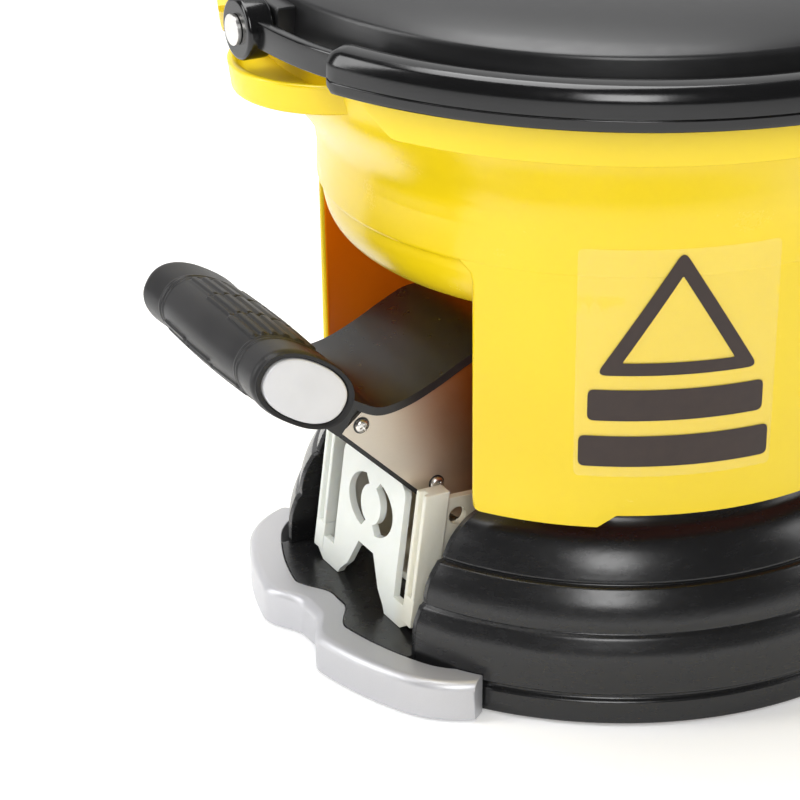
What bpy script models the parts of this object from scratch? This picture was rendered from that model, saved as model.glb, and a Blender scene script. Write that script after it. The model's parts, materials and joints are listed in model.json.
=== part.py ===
"""Foot-pedal spin mop bucket: black ribbed base, yellow tank, silver toe bumper,
pedal that turns a wringing basket through a rack, a gear pair and a one-way clutch.

Metres, +Z up. The origin is on the floor, on the basket's spin axis.
The pedal points to -X, and the bail handle is folded down round the -Y side.
"""
from math import asin, atan2, cos, degrees, hypot, pi, radians, sin, sqrt

import bmesh
import bpy
from mathutils import Matrix, Vector

MM = 0.001

# ---------------------------------------------------------------- driving dimensions
GAP = 0.3 * MM                # what touching pieces keep between them
RUN_GAP = 0.4 * MM            # between pieces that move past each other
ROUND = 30                    # facets round the large turned pieces

TANK_R = 141 * MM             # tank and skirt, outside
TANK_WALL = 3.2 * MM
TANK_FLOOR_Z = 190 * MM
SKIRT_Z = 92 * MM             # lower edge of the yellow skirt
RIM_R = 172 * MM              # flared mouth of the tank, outside
RIM_Z = 300 * MM
APRON_R = 186 * MM            # turned-down edge along both sides
APRON_H = 19 * MM
APRON_START = 22.0            # degrees from the pedal's direction
LUG_R = 47 * MM               # round shelf under each bail hub
LUG_X = 150 * MM
LUG_H = 14 * MM
ARCH_HALF = 32.0              # degrees, half of the pedal opening
ARCH_Z = 213 * MM
ARCH_CORNER = 8 * MM
SKIRT_BEND_Z = 205 * MM       # the wall tapers below this height
SKIRT_STEP_X = -72 * MM       # behind this the skirt's lower edge is cut higher
SKIRT_STEP = 6 * MM

BASE_R = 157 * MM             # widest rib of the base
BASE_WALL = 3 * MM
BASE_Z = 1 * MM
DECK_Z = 106 * MM             # flat top of the base, inside the skirt
COLLAR_R = 124 * MM
DECK_HOLE_R = 62 * MM
SEAT_R = 108 * MM             # ring under the tank that stands on the base's deck
SEAT_T = 4 * MM
WELL_HALF = 66 * MM           # half width of the pedal well
WELL_BACK_X = -34 * MM
WELL_FLOOR_Z = 20 * MM
WELL_WALL = 3 * MM
PAN_Z = 3 * MM
PAN_T = 2 * MM
PAN_R = 151.4 * MM
FOOT_R = 16 * MM
FOOT_RING_R = 118 * MM

BUMPER_R = 176.5 * MM
BUMPER_WIDTH = 16 * MM
BUMPER_H = 19 * MM
BUMPER_HALF = 38.0            # degrees
BUMPER_TURN = 27.0            # degrees where the ends start to close in on the base
BUMPER_END_DROP = 10 * MM
NOTCH_HALF = 8.0              # degrees over which each side of the middle dip runs out
NOTCH_DEPTH = 12 * MM

PIVOT_X = -60 * MM            # pedal shaft
PIVOT_Z = 70 * MM
PIVOT_R = 5 * MM
PEDAL_TRAVEL = 35.0           # degrees
ARM_HALF = 40 * MM
ARM_SKIN = 4 * MM
FLANGE_OUT = 35 * MM          # outer face of the arm's moulded side flange
FLANGE_T = 3 * MM
CHEEK_T = 2 * MM
GRIP_X = -194 * MM
GRIP_Z = 162 * MM
GRIP_HALF = 60 * MM
GRIP_A = 28 * MM              # half of the grip's long section axis
GRIP_B = 17 * MM
GRIP_TILT = 32.0              # degrees, outer edge up
CAP_T = 2.5 * MM
CORE_A = 0.72                 # the arm's inner bar, as a share of the grip section
CORE_B = 0.66
BUSH_R = 7 * MM

BRACKET_HALF = 50 * MM        # nylon guide bracket
BRACKET_FRONT_X = -131 * MM
BRACKET_BACK_X = -40 * MM
BRACKET_PLATE_T = 3.5 * MM
BRACKET_TOP_Z = 88 * MM
TONGUE_HALF = 31 * MM         # front plate, between the slots for the cheeks
POST_IN = 41 * MM
POST_LEN = 13 * MM
SIDE_T = 4 * MM
SLOT_Z = 66 * MM              # height of the lightening slots in the front plate

CRANK_LEN = 36 * MM
CRANK_PIN_R = 3 * MM
RACK_NEAR_Y = 13 * MM
RACK_PITCH_Y = 23.9 * MM
RACK_Z = 30 * MM
RACK_H = 10 * MM
MODULE = 2 * MM
SMALL_TEETH = 10
WHEEL_TEETH = 38
PINION_TEETH = 10
TOOTH_REACH = 1.1 * MM        # half of the working depth
TOOTH_ROOT = 1.7 * MM
WHEEL_Z = 43.5 * MM
WHEEL_T = 7 * MM
PLATE_T = 3 * MM
LOW_PLATE_Z = 24 * MM
HIGH_PLATE_Z = 56 * MM
LAY_R = 4 * MM
POST_R = 3 * MM
BEARING_R = 11.5 * MM
SHAFT_R = 6 * MM
SHAFT_FOOT_Z = 28.5 * MM

BASKET_R = 100 * MM
BASKET_FLOOR_R = 88 * MM
BASKET_Z = 222 * MM
BASKET_TOP_Z = 322 * MM
BASKET_WALL = 2.4 * MM
BASKET_SLOTS = 16             # in each of two rows
GUARD_R = 176 * MM
GUARD_EDGE_Z = 325 * MM
GUARD_TOP_Z = 338 * MM
GUARD_MOUTH_R = 108 * MM
GUARD_WALL = 2.8 * MM

BAIL_R = 191 * MM
BAIL_Z = 311 * MM
STRAP_A = 2.5 * MM            # flat strap of the bail, half thickness and half height
STRAP_B = 6 * MM
BAIL_STEPS = 24
BAIL_GRIP_A = 9 * MM          # radial half width of the hand grip
BAIL_GRIP_B = 10 * MM         # half height
BAIL_GRIP_FROM = 20.0         # degrees from the pedal's direction
HUB_X = 183 * MM
HUB_T = 13 * MM
HUB_R = 14 * MM
BAIL_PIN_R = 4 * MM
EAR_HALF = 13 * MM

LABEL_FROM = 51.5             # degrees from the pedal's direction
LABEL_TO = 89.5
LABEL_LOW = 118 * MM
LABEL_HIGH = 228 * MM
LABEL_OFF = 0.35 * MM
LABEL_T = 0.4 * MM

# ---------------------------------------------------------------- derived sizes
WHEEL_R = MODULE * WHEEL_TEETH / 2
PINION_R = MODULE * PINION_TEETH / 2
SMALL_R = MODULE * SMALL_TEETH / 2
LAY_Y = RACK_PITCH_Y + SMALL_R
LAY_X = sqrt((WHEEL_R + PINION_R) ** 2 - LAY_Y ** 2)
CHEEK_IN = FLANGE_OUT + GAP
CHEEK_OUT = CHEEK_IN + CHEEK_T
GUARD_Z = RIM_Z + GAP         # the guard rests on the tank's rim

SIDES = ((-1, "near"), (1, "far"))

# ---------------------------------------------------------------- scene and helpers
for old in list(bpy.data.objects):
    bpy.data.objects.remove(old)
PARTS = bpy.data.collections.new("spin_mop_bucket")
CUTTERS = bpy.data.collections.new("cutters")
bpy.context.scene.collection.children.link(PARTS)
bpy.context.scene.collection.children.link(CUTTERS)


def finish_mat(name, color, rough, metal=0.0):
    mat = bpy.data.materials.new(name)
    mat.use_nodes = True
    bsdf = mat.node_tree.nodes["Principled BSDF"]
    bsdf.inputs["Base Color"].default_value = (*color, 1.0)
    bsdf.inputs["Roughness"].default_value = rough
    bsdf.inputs["Metallic"].default_value = metal
    return mat


YELLOW = finish_mat("yellow_plastic", (0.86, 0.66, 0.02), 0.35)
BLACK = finish_mat("black_plastic", (0.02, 0.02, 0.022), 0.35)
RUBBER = finish_mat("black_rubber", (0.03, 0.03, 0.03), 0.7)
SILVER = finish_mat("silver_plastic", (0.62, 0.62, 0.62), 0.4, 0.3)
ZINC = finish_mat("zinc_steel", (0.6, 0.56, 0.5), 0.35, 1.0)
NYLON = finish_mat("natural_nylon", (0.72, 0.72, 0.66), 0.45)
STEEL = finish_mat("steel", (0.55, 0.55, 0.55), 0.3, 1.0)
FILM = finish_mat("label_film", (0.9, 0.75, 0.2), 0.15)


def place(obj, name, mat=None, collection=PARTS):
    """Name an object, give it its own material and put it in its collection."""
    obj.name = name
    obj.data.name = name
    for coll in list(obj.users_collection):
        coll.objects.unlink(obj)
    collection.objects.link(obj)
    if mat is not None:
        own = mat.copy()
        own.name = name + "_finish"
        obj.data.materials.clear()
        obj.data.materials.append(own)
    if collection is CUTTERS:
        obj.hide_render = True
        obj.display_type = "WIRE"
    return obj


def from_bmesh(bm, name):
    mesh = bpy.data.meshes.new(name)
    bm.normal_update()
    bm.to_mesh(mesh)
    bm.free()
    obj = bpy.data.objects.new(name, mesh)
    bpy.context.scene.collection.objects.link(obj)
    return obj


def box(name, low, high, mat=None, collection=PARTS):
    bm = bmesh.new()
    size = [h - l for l, h in zip(low, high)]
    mid = [(h + l) / 2 for l, h in zip(low, high)]
    bmesh.ops.create_cube(bm, size=1.0, matrix=Matrix.Translation(mid) @ Matrix.Diagonal((*size, 1)))
    return place(from_bmesh(bm, name), name, mat, collection)


def rod(name, start, end, radius, mat=None, collection=PARTS, sides=24, radius2=None):
    """A cylinder, or a cone, from one point to another."""
    start = Vector(start)
    end = Vector(end)
    turn = (end - start).to_track_quat("Z", "Y").to_matrix().to_4x4()
    bm = bmesh.new()
    bmesh.ops.create_cone(
        bm, cap_ends=True, segments=sides, radius1=radius, radius2=radius2 or radius,
        depth=(end - start).length, matrix=Matrix.Translation((start + end) / 2) @ turn)
    obj = place(from_bmesh(bm, name), name, mat, collection)
    obj.data.shade_smooth()
    obj.data.set_sharp_from_angle(angle=radians(35))
    return obj


def settle(obj, name, mat=None, collection=PARTS):
    """Replace an object by a plain mesh of how it looks with its modifiers, in world space."""
    bpy.context.view_layer.update()
    shaped = obj.evaluated_get(bpy.context.evaluated_depsgraph_get())
    mesh = bpy.data.meshes.new_from_object(shaped)
    mesh.transform(obj.matrix_world)
    bm = bmesh.new()
    bm.from_mesh(mesh)
    bmesh.ops.remove_doubles(bm, verts=bm.verts, dist=1e-6)
    bm.to_mesh(mesh)
    bm.free()
    solid = bpy.data.objects.new(name, mesh)
    bpy.context.scene.collection.objects.link(solid)
    bpy.data.objects.remove(obj)
    return place(solid, name, mat, collection)


def lathe(name, profile, mat=None, collection=PARTS, steps=ROUND, centre=(0, 0)):
    """Turn a closed profile of (radius, height), listed down its outer side, about a vertical axis."""
    mesh = bpy.data.meshes.new(name)
    points = [(r, 0, z) for r, z in profile]
    edges = [(i, (i + 1) % len(points)) for i in range(len(points))]
    mesh.from_pydata(points, edges, [])
    obj = bpy.data.objects.new(name, mesh)
    bpy.context.scene.collection.objects.link(obj)
    obj.location = (*centre, 0)
    screw = obj.modifiers.new("turn", "SCREW")
    screw.steps = steps
    screw.render_steps = steps
    screw.use_merge_vertices = True
    screw.merge_threshold = 1e-6
    screw.use_smooth_shade = True
    return settle(obj, name, mat, collection)


def prism(name, outline, low, high, axis="Y", holes=(), mat=None, collection=PARTS):
    """A flat outline given thickness. Along Y the outline is (x, z), along X (y, z), along Z (x, y)."""
    curve = bpy.data.curves.new(name, "CURVE")
    curve.dimensions = "2D"
    curve.fill_mode = "BOTH"
    curve.extrude = (high - low) / 2
    for ring in (outline, *holes):
        spline = curve.splines.new("POLY")
        spline.points.add(len(ring) - 1)
        for point, (u, v) in zip(spline.points, ring):
            point.co = (u, v, 0, 1)
        spline.use_cyclic_u = True
    obj = bpy.data.objects.new(name, curve)
    bpy.context.scene.collection.objects.link(obj)
    middle = (low + high) / 2
    if axis == "Y":
        obj.matrix_world = Matrix.Translation((0, middle, 0)) @ Matrix.Rotation(pi / 2, 4, "X")
    elif axis == "X":
        obj.matrix_world = (Matrix.Translation((middle, 0, 0)) @ Matrix.Rotation(pi / 2, 4, "Z")
                            @ Matrix.Rotation(pi / 2, 4, "X"))
    else:
        obj.matrix_world = Matrix.Translation((0, 0, middle))
    return settle(obj, name, mat, collection)


def wire(name, points, radius, mat=None, collection=PARTS, sides=2, closed=False):
    """A round bar along a list of points."""
    curve = bpy.data.curves.new(name, "CURVE")
    curve.dimensions = "3D"
    curve.bevel_depth = radius
    curve.bevel_resolution = sides
    curve.use_fill_caps = not closed
    spline = curve.splines.new("POLY")
    spline.points.add(len(points) - 1)
    for point, co in zip(spline.points, points):
        point.co = (*co, 1)
    spline.use_cyclic_u = closed
    obj = bpy.data.objects.new(name, curve)
    bpy.context.scene.collection.objects.link(obj)
    return settle(obj, name, mat, collection)


def sweep(name, rings, mat=None, collection=PARTS):
    """A closed loft through rings of equal point count, capped at both ends."""
    bm = bmesh.new()
    loops = [[bm.verts.new(p) for p in ring] for ring in rings]
    count = len(rings[0])
    for a, b in zip(loops, loops[1:]):
        for i in range(count):
            bm.faces.new((a[i], a[(i + 1) % count], b[(i + 1) % count], b[i]))
    bm.faces.new(list(reversed(loops[0])))
    bm.faces.new(loops[-1])
    bmesh.ops.recalc_face_normals(bm, faces=bm.faces)
    obj = place(from_bmesh(bm, name), name, mat, collection)
    obj.data.shade_smooth()
    obj.data.set_sharp_from_angle(angle=radians(40))
    return obj


def combine(obj, other, how):
    """Add, cut or keep the overlap of another object, which then becomes a hidden guide."""
    place(other, other.name, None, CUTTERS)
    mod = obj.modifiers.new(how.lower() + "_" + other.name, "BOOLEAN")
    mod.operation = how
    mod.solver = "EXACT"
    mod.object = other
    return obj


def cut(obj, *tools):
    for tool in tools:
        combine(obj, tool, "DIFFERENCE")
    return obj


def add(obj, *others):
    for other in others:
        combine(obj, other, "UNION")
    return obj


def arc(centre, radius, start, end, count, squash=1.0):
    """Points on an arc, in degrees; squash scales the second coordinate."""
    turns = [radians(start + (end - start) * i / (count - 1)) for i in range(count)]
    return [(centre[0] + radius * cos(t), centre[1] + radius * squash * sin(t)) for t in turns]


def circle(centre, radius, count=24):
    return arc(centre, radius, 0, 360 * (count - 1) / count, count)


def toward(angle, radius):
    """A plan point at an angle in degrees from the pedal's direction (-X), turning towards -Y."""
    return (-radius * cos(radians(angle)), -radius * sin(radians(angle)))


def smooth(points, steps=5):
    """A Catmull-Rom curve through plan or side-view points."""
    first = tuple(2 * a - b for a, b in zip(points[0], points[1]))
    last = tuple(2 * a - b for a, b in zip(points[-1], points[-2]))
    ring = [first, *points, last]
    out = []
    for p0, p1, p2, p3 in zip(ring, ring[1:], ring[2:], ring[3:]):
        for k in range(steps):
            t = k / steps
            out.append(tuple(
                0.5 * (2 * b + (c - a) * t + (2 * a - 5 * b + 4 * c - d) * t * t
                       + (3 * b - a - 3 * c + d) * t ** 3)
                for a, b, c, d in zip(p0, p1, p2, p3)))
    out.append(points[-1])
    return out


def offset(path, distance):
    """A side-view path moved sideways; positive is up when the path runs to +X."""
    out = []
    for i, (x, z) in enumerate(path):
        x0, z0 = path[max(i - 1, 0)]
        x1, z1 = path[min(i + 1, len(path) - 1)]
        length = hypot(x1 - x0, z1 - z0)
        out.append((x - (z1 - z0) / length * distance, z + (x1 - x0) / length * distance))
    return out


def gear_outline(centre, teeth, phase=0.0, module=MODULE):
    """A spur gear with straight-sided teeth; phase in degrees puts a tooth at that angle."""
    pitch_r = module * teeth / 2
    step = 360.0 / teeth
    half_tip = 0.13 * step
    half_root = 0.24 * step
    ring = []
    for i in range(teeth):
        at = phase + i * step
        for angle, radius in ((-half_root, pitch_r - TOOTH_ROOT), (-half_tip, pitch_r + TOOTH_REACH),
                              (half_tip, pitch_r + TOOTH_REACH), (half_root, pitch_r - TOOTH_ROOT)):
            turn = radians(at + angle)
            ring.append((centre[0] + radius * cos(turn), centre[1] + radius * sin(turn)))
    return ring


def screw(name, at, direction, head_r=3.2 * MM, head_h=2.2 * MM, shank_r=1.7 * MM, length=8 * MM):
    """A pan-head screw: the head stands on the surface at its point, the shank goes in."""
    at = Vector(at)
    out = Vector(direction).normalized()
    head = rod(name + "_head", at, at + out * head_h, head_r, sides=14, radius2=head_r * 0.7)
    shank = rod(name + "_shank", at + out * (head_h * 0.3), at - out * length, shank_r, sides=8)
    add(head, shank)
    return settle(head, name, STEEL)


# ---------------------------------------------------------------- base
DOME = [(COLLAR_R, DECK_Z), (COLLAR_R, 90 * MM), (126 * MM, 86.5 * MM), (133 * MM, 82 * MM),
        (139 * MM, 75 * MM), (142.5 * MM, 68 * MM), (142 * MM, 65.5 * MM), (145.5 * MM, 64.5 * MM),
        (149 * MM, 57 * MM), (151 * MM, 50 * MM), (151 * MM, 44.5 * MM), (154 * MM, 43 * MM),
        (156.5 * MM, 34 * MM), (BASE_R, 24 * MM), (BASE_R, 17 * MM), (153 * MM, 15.5 * MM),
        (153 * MM, 13.5 * MM), (155 * MM, 12 * MM), (155.5 * MM, BASE_Z)]


def make_base_shell():
    inner = [(r - BASE_WALL, z) for r, z in reversed([DOME[i] for i in (1, 3, 5, 8, 10, 12, 14, 15, 18)])]
    under = DECK_Z - BASE_WALL
    deck = [(COLLAR_R - BASE_WALL, under), (DECK_HOLE_R, under), (DECK_HOLE_R, DECK_Z)]
    shell = lathe("base_shell", DOME + inner + deck, BLACK)
    well = box("well_cut", (-200 * MM, -WELL_HALF, -5 * MM), (WELL_BACK_X, WELL_HALF, DECK_Z + 5 * MM),
               collection=CUTTERS)
    return cut(shell, well)


def make_pedal_well():
    """Floor and side walls of the well, trimmed to the outline of the ribbed dome."""
    low = WELL_FLOOR_Z - WELL_WALL
    half = WELL_HALF - GAP
    well = box("pedal_well", (-170 * MM, -half, low), (WELL_BACK_X - GAP, half, DECK_Z - 6 * MM), BLACK)
    hollow = box("well_hollow", (-180 * MM, -half + WELL_WALL, WELL_FLOOR_Z),
                 (WELL_BACK_X + 10 * MM, half - WELL_WALL, DECK_Z + 10 * MM), collection=CUTTERS)
    floor_top = WELL_FLOOR_Z + GAP
    dome = [(r, z) for r, z in DOME if z > floor_top]
    solid = lathe("well_trim", dome + [(BUMPER_R, floor_top), (BUMPER_R, 0), (0, 0), (0, DECK_Z)],
                  collection=CUTTERS)
    cut(well, hollow)
    combine(well, solid, "INTERSECT")
    # the floor and the walls' feet end along the inside of the bumper
    turns = [-30 + 2 * i for i in range(31)]
    front = [toward(turn, bumper_radius(turn) - BUMPER_WIDTH - GAP) for turn in turns]
    front = [(-200 * MM, front[0][1]), *front, (-200 * MM, front[-1][1])]
    return cut(well, prism("well_front_cut", front, 0, floor_top, axis="Z", collection=CUTTERS))


def make_base_pan():
    """Flat steel bottom, with a straight front edge behind the bumper's dip."""
    pan = lathe("base_pan", [(PAN_R, PAN_Z + PAN_T), (PAN_R, PAN_Z), (0, PAN_Z), (0, PAN_Z + PAN_T)], ZINC)
    front = BUMPER_R - BUMPER_WIDTH - NOTCH_DEPTH - 2 * MM
    cut(pan, box("pan_front_cut", (-BUMPER_R, -BASE_R, -PAN_Z), (-front, BASE_R, 4 * PAN_Z),
                 collection=CUTTERS))


def make_feet():
    spots = [(0.0, 0.0)] + [toward(45 + 90 * i, FOOT_RING_R) for i in range(4)]
    names = ["centre_foot"] + ["foot_%d" % i for i in range(1, 5)]
    for name, (x, y) in zip(names, spots):
        rod(name, (x, y, 0), (x, y, PAN_Z - GAP), FOOT_R, RUBBER, sides=28)


def bumper_radius(angle):
    """Outer radius of the toe bumper: a round dip in the middle, blended into the two lobes."""
    dip = 1.0 if abs(angle) < 2.0 else 0.0
    if 2.0 <= abs(angle) < NOTCH_HALF + 2.0:
        dip = 0.5 + 0.5 * cos(pi * (abs(angle) - 2.0) / NOTCH_HALF)
    end = max(0.0, (abs(angle) - BUMPER_TURN) / (BUMPER_HALF - BUMPER_TURN))
    return BUMPER_R - NOTCH_DEPTH * dip - BUMPER_END_DROP * end ** 2


def make_bumper():
    rings = []
    count = 39
    shell_edge = degrees(asin(WELL_HALF / BASE_R)) - 2.0
    for i in range(count):
        angle = -BUMPER_HALF + 2 * BUMPER_HALF * i / (count - 1)
        out = bumper_radius(angle)
        inner = out - BUMPER_WIDTH
        if abs(angle) > shell_edge:
            inner = max(inner, BASE_R + GAP)
        top = BASE_Z + BUMPER_H
        section = [(inner, BASE_Z), (out, BASE_Z), (out, top - 4 * MM), (out - 1.2 * MM, top - 1.2 * MM),
                   (out - 4 * MM, top), (inner, top)]
        rings.append([(*toward(angle, r), z) for r, z in section])
    return sweep("toe_bumper", rings, SILVER)


# ---------------------------------------------------------------- tank
def make_bucket_body():
    t = TANK_WALL
    outer = [(RIM_R, RIM_Z), (RIM_R - 1.5 * MM, 286 * MM), (166 * MM, 274 * MM), (157 * MM, 261 * MM),
             (148 * MM, 250 * MM), (143 * MM, 241 * MM), (TANK_R, 231 * MM), (TANK_R, SKIRT_BEND_Z),
             (TANK_R - 2 * MM, SKIRT_Z)]
    skirt_in = [(TANK_R - 2 * MM - t, SKIRT_Z), (TANK_R - t, SKIRT_BEND_Z), (TANK_R - t, 222 * MM)]
    bowl_out = [(136.6 * MM, 214 * MM), (132.5 * MM, 204 * MM), (124 * MM, 195.5 * MM),
                (110 * MM, TANK_FLOOR_Z), (30 * MM, TANK_FLOOR_Z - 4 * MM), (30 * MM, 176 * MM),
                (16 * MM, 176 * MM)]
    hub_in = [(16 * MM, 206 * MM), (22 * MM, 206 * MM), (28 * MM, TANK_FLOOR_Z + t - 2 * MM)]
    bowl_in = [(109 * MM, TANK_FLOOR_Z + t), (122 * MM, 198.5 * MM), (129.8 * MM, 206.5 * MM),
               (134.6 * MM, 220 * MM), (138.6 * MM, 240 * MM), (145.5 * MM, 252 * MM),
               (162 * MM, 273.5 * MM), (RIM_R - t, RIM_Z)]
    body = lathe("bucket_body", outer + skirt_in + bowl_out + hub_in + bowl_in, YELLOW)
    # turned-down edge on both sides, with slanted ends
    apron = lathe("apron", [(APRON_R, RIM_Z), (APRON_R - 2 * MM, RIM_Z - APRON_H),
                            (APRON_R - 2 * MM - t, RIM_Z - APRON_H), (APRON_R - t, RIM_Z - t),
                            (RIM_R - 1 * MM, RIM_Z - t), (RIM_R - 1 * MM, RIM_Z)],
                  collection=CUTTERS)
    half = radians(APRON_START)
    for side in (-1, 1):
        slant = 12 * MM
        x = -side * APRON_R * cos(half)
        y = APRON_R * sin(half)
        tool = prism("apron_end_%d" % (side + 1), [
            (-y - slant, RIM_Z - APRON_H - 10 * MM), (y + slant, RIM_Z - APRON_H - 10 * MM),
            (y - slant * 0.4, RIM_Z + 10 * MM), (-y + slant * 0.4, RIM_Z + 10 * MM)],
            min(x * 0.8, x * 1.3), max(x * 0.8, x * 1.3), axis="X", collection=CUTTERS)
        cut(apron, tool)
    add(body, apron)
    # round dished shelves under the bail hubs
    for side in (-1, 1):
        top = RIM_Z - 7 * MM
        lug = lathe("lug_%d" % (side + 1), [
            (LUG_R - 2 * MM, top), (LUG_R, top - 2 * MM), (LUG_R - 1.5 * MM, top - LUG_H), (0, top - LUG_H),
            (0, top - 6 * MM), (LUG_R - 8 * MM, top - 5 * MM), (LUG_R - 5 * MM, top)],
            collection=CUTTERS, centre=(side * LUG_X, 0))
        keep = lathe("lug_keep_%d" % (side + 1), [
            (TANK_R + 80 * MM, 320 * MM), (TANK_R + 80 * MM, 260 * MM), (158 * MM, 260 * MM),
            (169 * MM, 286 * MM), (RIM_R - 2 * MM, 320 * MM)], collection=CUTTERS)
        combine(lug, keep, "INTERSECT")
        add(body, lug)
    # arched opening for the pedal, open at the skirt's lower edge
    half_y = TANK_R * sin(radians(ARCH_HALF))
    corner_y, corner_z = half_y - ARCH_CORNER, ARCH_Z - ARCH_CORNER
    crown = arc((corner_y, corner_z), ARCH_CORNER, 0, 90, 5)
    crown += arc((-corner_y, corner_z), ARCH_CORNER, 90, 180, 5)
    arch = prism("arch_cut", [(-half_y, SKIRT_Z - 10 * MM), (half_y, SKIRT_Z - 10 * MM)] + crown,
                 -TANK_R - 19 * MM, -TANK_R + 41 * MM, axis="X", collection=CUTTERS)
    ring = lathe("arch_ring", [(TANK_R + 9 * MM, 230 * MM), (TANK_R + 9 * MM, SKIRT_Z - 8 * MM),
                               (TANK_R - t - 3.5 * MM, SKIRT_Z - 8 * MM), (TANK_R - t - 1 * MM, 230 * MM)],
                 collection=CUTTERS)
    combine(arch, ring, "INTERSECT")
    # seat ring, open over the pedal well
    seat_top = TANK_FLOOR_Z + 1 * MM
    seat = lathe("seat_ring", [(SEAT_R, seat_top), (SEAT_R, DECK_Z + GAP), (SEAT_R - SEAT_T, DECK_Z + GAP),
                               (SEAT_R - SEAT_T, seat_top)], collection=CUTTERS)
    clear = WELL_HALF + 2 * MM
    cut(seat, box("seat_gap", (-SEAT_R - 20 * MM, -clear, 90 * MM), (0, clear, 200 * MM), collection=CUTTERS))
    add(body, seat)
    low = SKIRT_Z - 10 * MM
    behind = TANK_R + 9 * MM
    step = prism("skirt_step", [(SKIRT_STEP_X, low), (behind, low), (behind, SKIRT_Z + SKIRT_STEP),
                                (SKIRT_STEP_X + 8 * MM, SKIRT_Z + SKIRT_STEP), (SKIRT_STEP_X, SKIRT_Z)],
                 -TANK_R - 9 * MM, TANK_R + 9 * MM, collection=CUTTERS)
    return cut(body, arch, step)


def make_splash_guard():
    t = GUARD_WALL
    r = GUARD_R - 8 * MM
    profile = [(GUARD_R - 3 * MM, GUARD_EDGE_Z), (GUARD_R, GUARD_Z), (GUARD_R - t - 5 * MM, GUARD_Z),
               (GUARD_R - t - 5 * MM, GUARD_Z + t), (GUARD_R - t - 0.5 * MM, GUARD_Z + t),
               (GUARD_R - t - 3 * MM, GUARD_EDGE_Z - t), (r - 4 * MM, GUARD_EDGE_Z),
               (GUARD_MOUTH_R + 10 * MM, GUARD_TOP_Z - t), (GUARD_MOUTH_R + t, GUARD_TOP_Z - 7 * MM),
               (GUARD_MOUTH_R + t, GUARD_TOP_Z - 16 * MM), (GUARD_MOUTH_R, GUARD_TOP_Z - 16 * MM),
               (GUARD_MOUTH_R, GUARD_TOP_Z - 6 * MM), (GUARD_MOUTH_R + 9 * MM, GUARD_TOP_Z),
               (r - 2 * MM, GUARD_EDGE_Z + 3 * MM)]
    guard = lathe("splash_guard", profile, BLACK)
    for side in (-1, 1):
        x0 = side * (GUARD_R - t - 1 * MM)
        x1 = side * (HUB_X - RUN_GAP)
        ear = box("ear_%d" % (side + 1), (min(x0, x1), -EAR_HALF, GUARD_Z),
                  (max(x0, x1), EAR_HALF, BAIL_Z + 11 * MM), collection=CUTTERS)
        bore = rod("ear_bore_%d" % (side + 1), (side * (GUARD_R - 9 * MM), 0, BAIL_Z),
                   (side * (HUB_X + 7 * MM), 0, BAIL_Z), BAIL_PIN_R + GAP, collection=CUTTERS)
        add(guard, ear)
        cut(guard, bore)
    return guard


# ---------------------------------------------------------------- pedal
ARM_PATH = smooth([(-192 * MM, 160 * MM), (-181 * MM, 153 * MM), (-168 * MM, 145.5 * MM),
                   (-157 * MM, 138.5 * MM), (-146 * MM, 134 * MM), (-132 * MM, 136 * MM),
                   (-117 * MM, 142 * MM), (-103 * MM, 149 * MM), (-90 * MM, 154 * MM),
                   (-77 * MM, 152.5 * MM), (-65 * MM, 146 * MM), (-55 * MM, 138 * MM)], steps=2)
CHEEK_SCREWS = [(-155 * MM, 128 * MM), (-116 * MM, 90 * MM), (-75 * MM, 128 * MM)]


def side_outline(drop, from_x, top_gap):
    """Side view of a cheek or flange: under the skin above, sloping to the pivot boss below."""
    top = [p for p in offset(ARM_PATH, -ARM_SKIN / 2 - top_gap) if p[0] > from_x]
    low = [(-45 * MM, 118 * MM), (-46 * MM, 84 * MM)]
    boss = arc((PIVOT_X, PIVOT_Z), 13 * MM, 20, -110, 8)
    edge = [(-100 * MM, 66 * MM), (-117 * MM, 79 * MM - drop * 0.6), (-122 * MM, 85 * MM - drop),
            (-165 * MM, 126 * MM - drop)]
    return top + low + boss + edge


def make_pedal_arm():
    """Moulded arm: curved skin, two side flanges, the end blocks and the bar inside the grip."""
    upper = offset(ARM_PATH, ARM_SKIN / 2)
    lower = offset(ARM_PATH, -ARM_SKIN / 2)
    arm = prism("pedal_arm", upper + list(reversed(lower)), -ARM_HALF, ARM_HALF, mat=BLACK)
    bar = sweep("grip_bar", [grip_ring(y, CORE_A, CORE_B, 16) for y in (-GRIP_HALF + CAP_T + GAP,
                GRIP_HALF - CAP_T - GAP)], collection=CUTTERS)
    add(arm, bar)
    for side in (-1, 1):
        low = min(side * FLANGE_OUT, side * (FLANGE_OUT - FLANGE_T))
        flange = prism("flange_%d" % (side + 1), side_outline(3 * MM, -172 * MM, -1 * MM), low,
                       low + FLANGE_T, collection=CUTTERS)
        block_in, block_out = FLANGE_OUT - FLANGE_T - 1 * MM, ARM_HALF - 0.4 * MM
        low = min(side * block_in, side * block_out)
        block = prism("end_block_%d" % (side + 1), [
            (-167 * MM, 125 * MM), (-157.5 * MM, 138.5 * MM), (-168 * MM, 147 * MM), (-182 * MM, 153 * MM),
            (-183 * MM, 146 * MM), (-177 * MM, 134 * MM)], low, low + block_out - block_in,
            collection=CUTTERS)
        add(arm, flange, block)
    bores = [rod("arm_bore", (PIVOT_X, -ARM_HALF, PIVOT_Z), (PIVOT_X, ARM_HALF, PIVOT_Z), BUSH_R + GAP,
                 collection=CUTTERS)]
    for i, (x, z) in enumerate(CHEEK_SCREWS):
        bores.append(rod("arm_screw_bore_%d" % i, (x, -ARM_HALF, z), (x, ARM_HALF, z), 2 * MM,
                         collection=CUTTERS, sides=12))
    return cut(arm, *bores)


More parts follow.
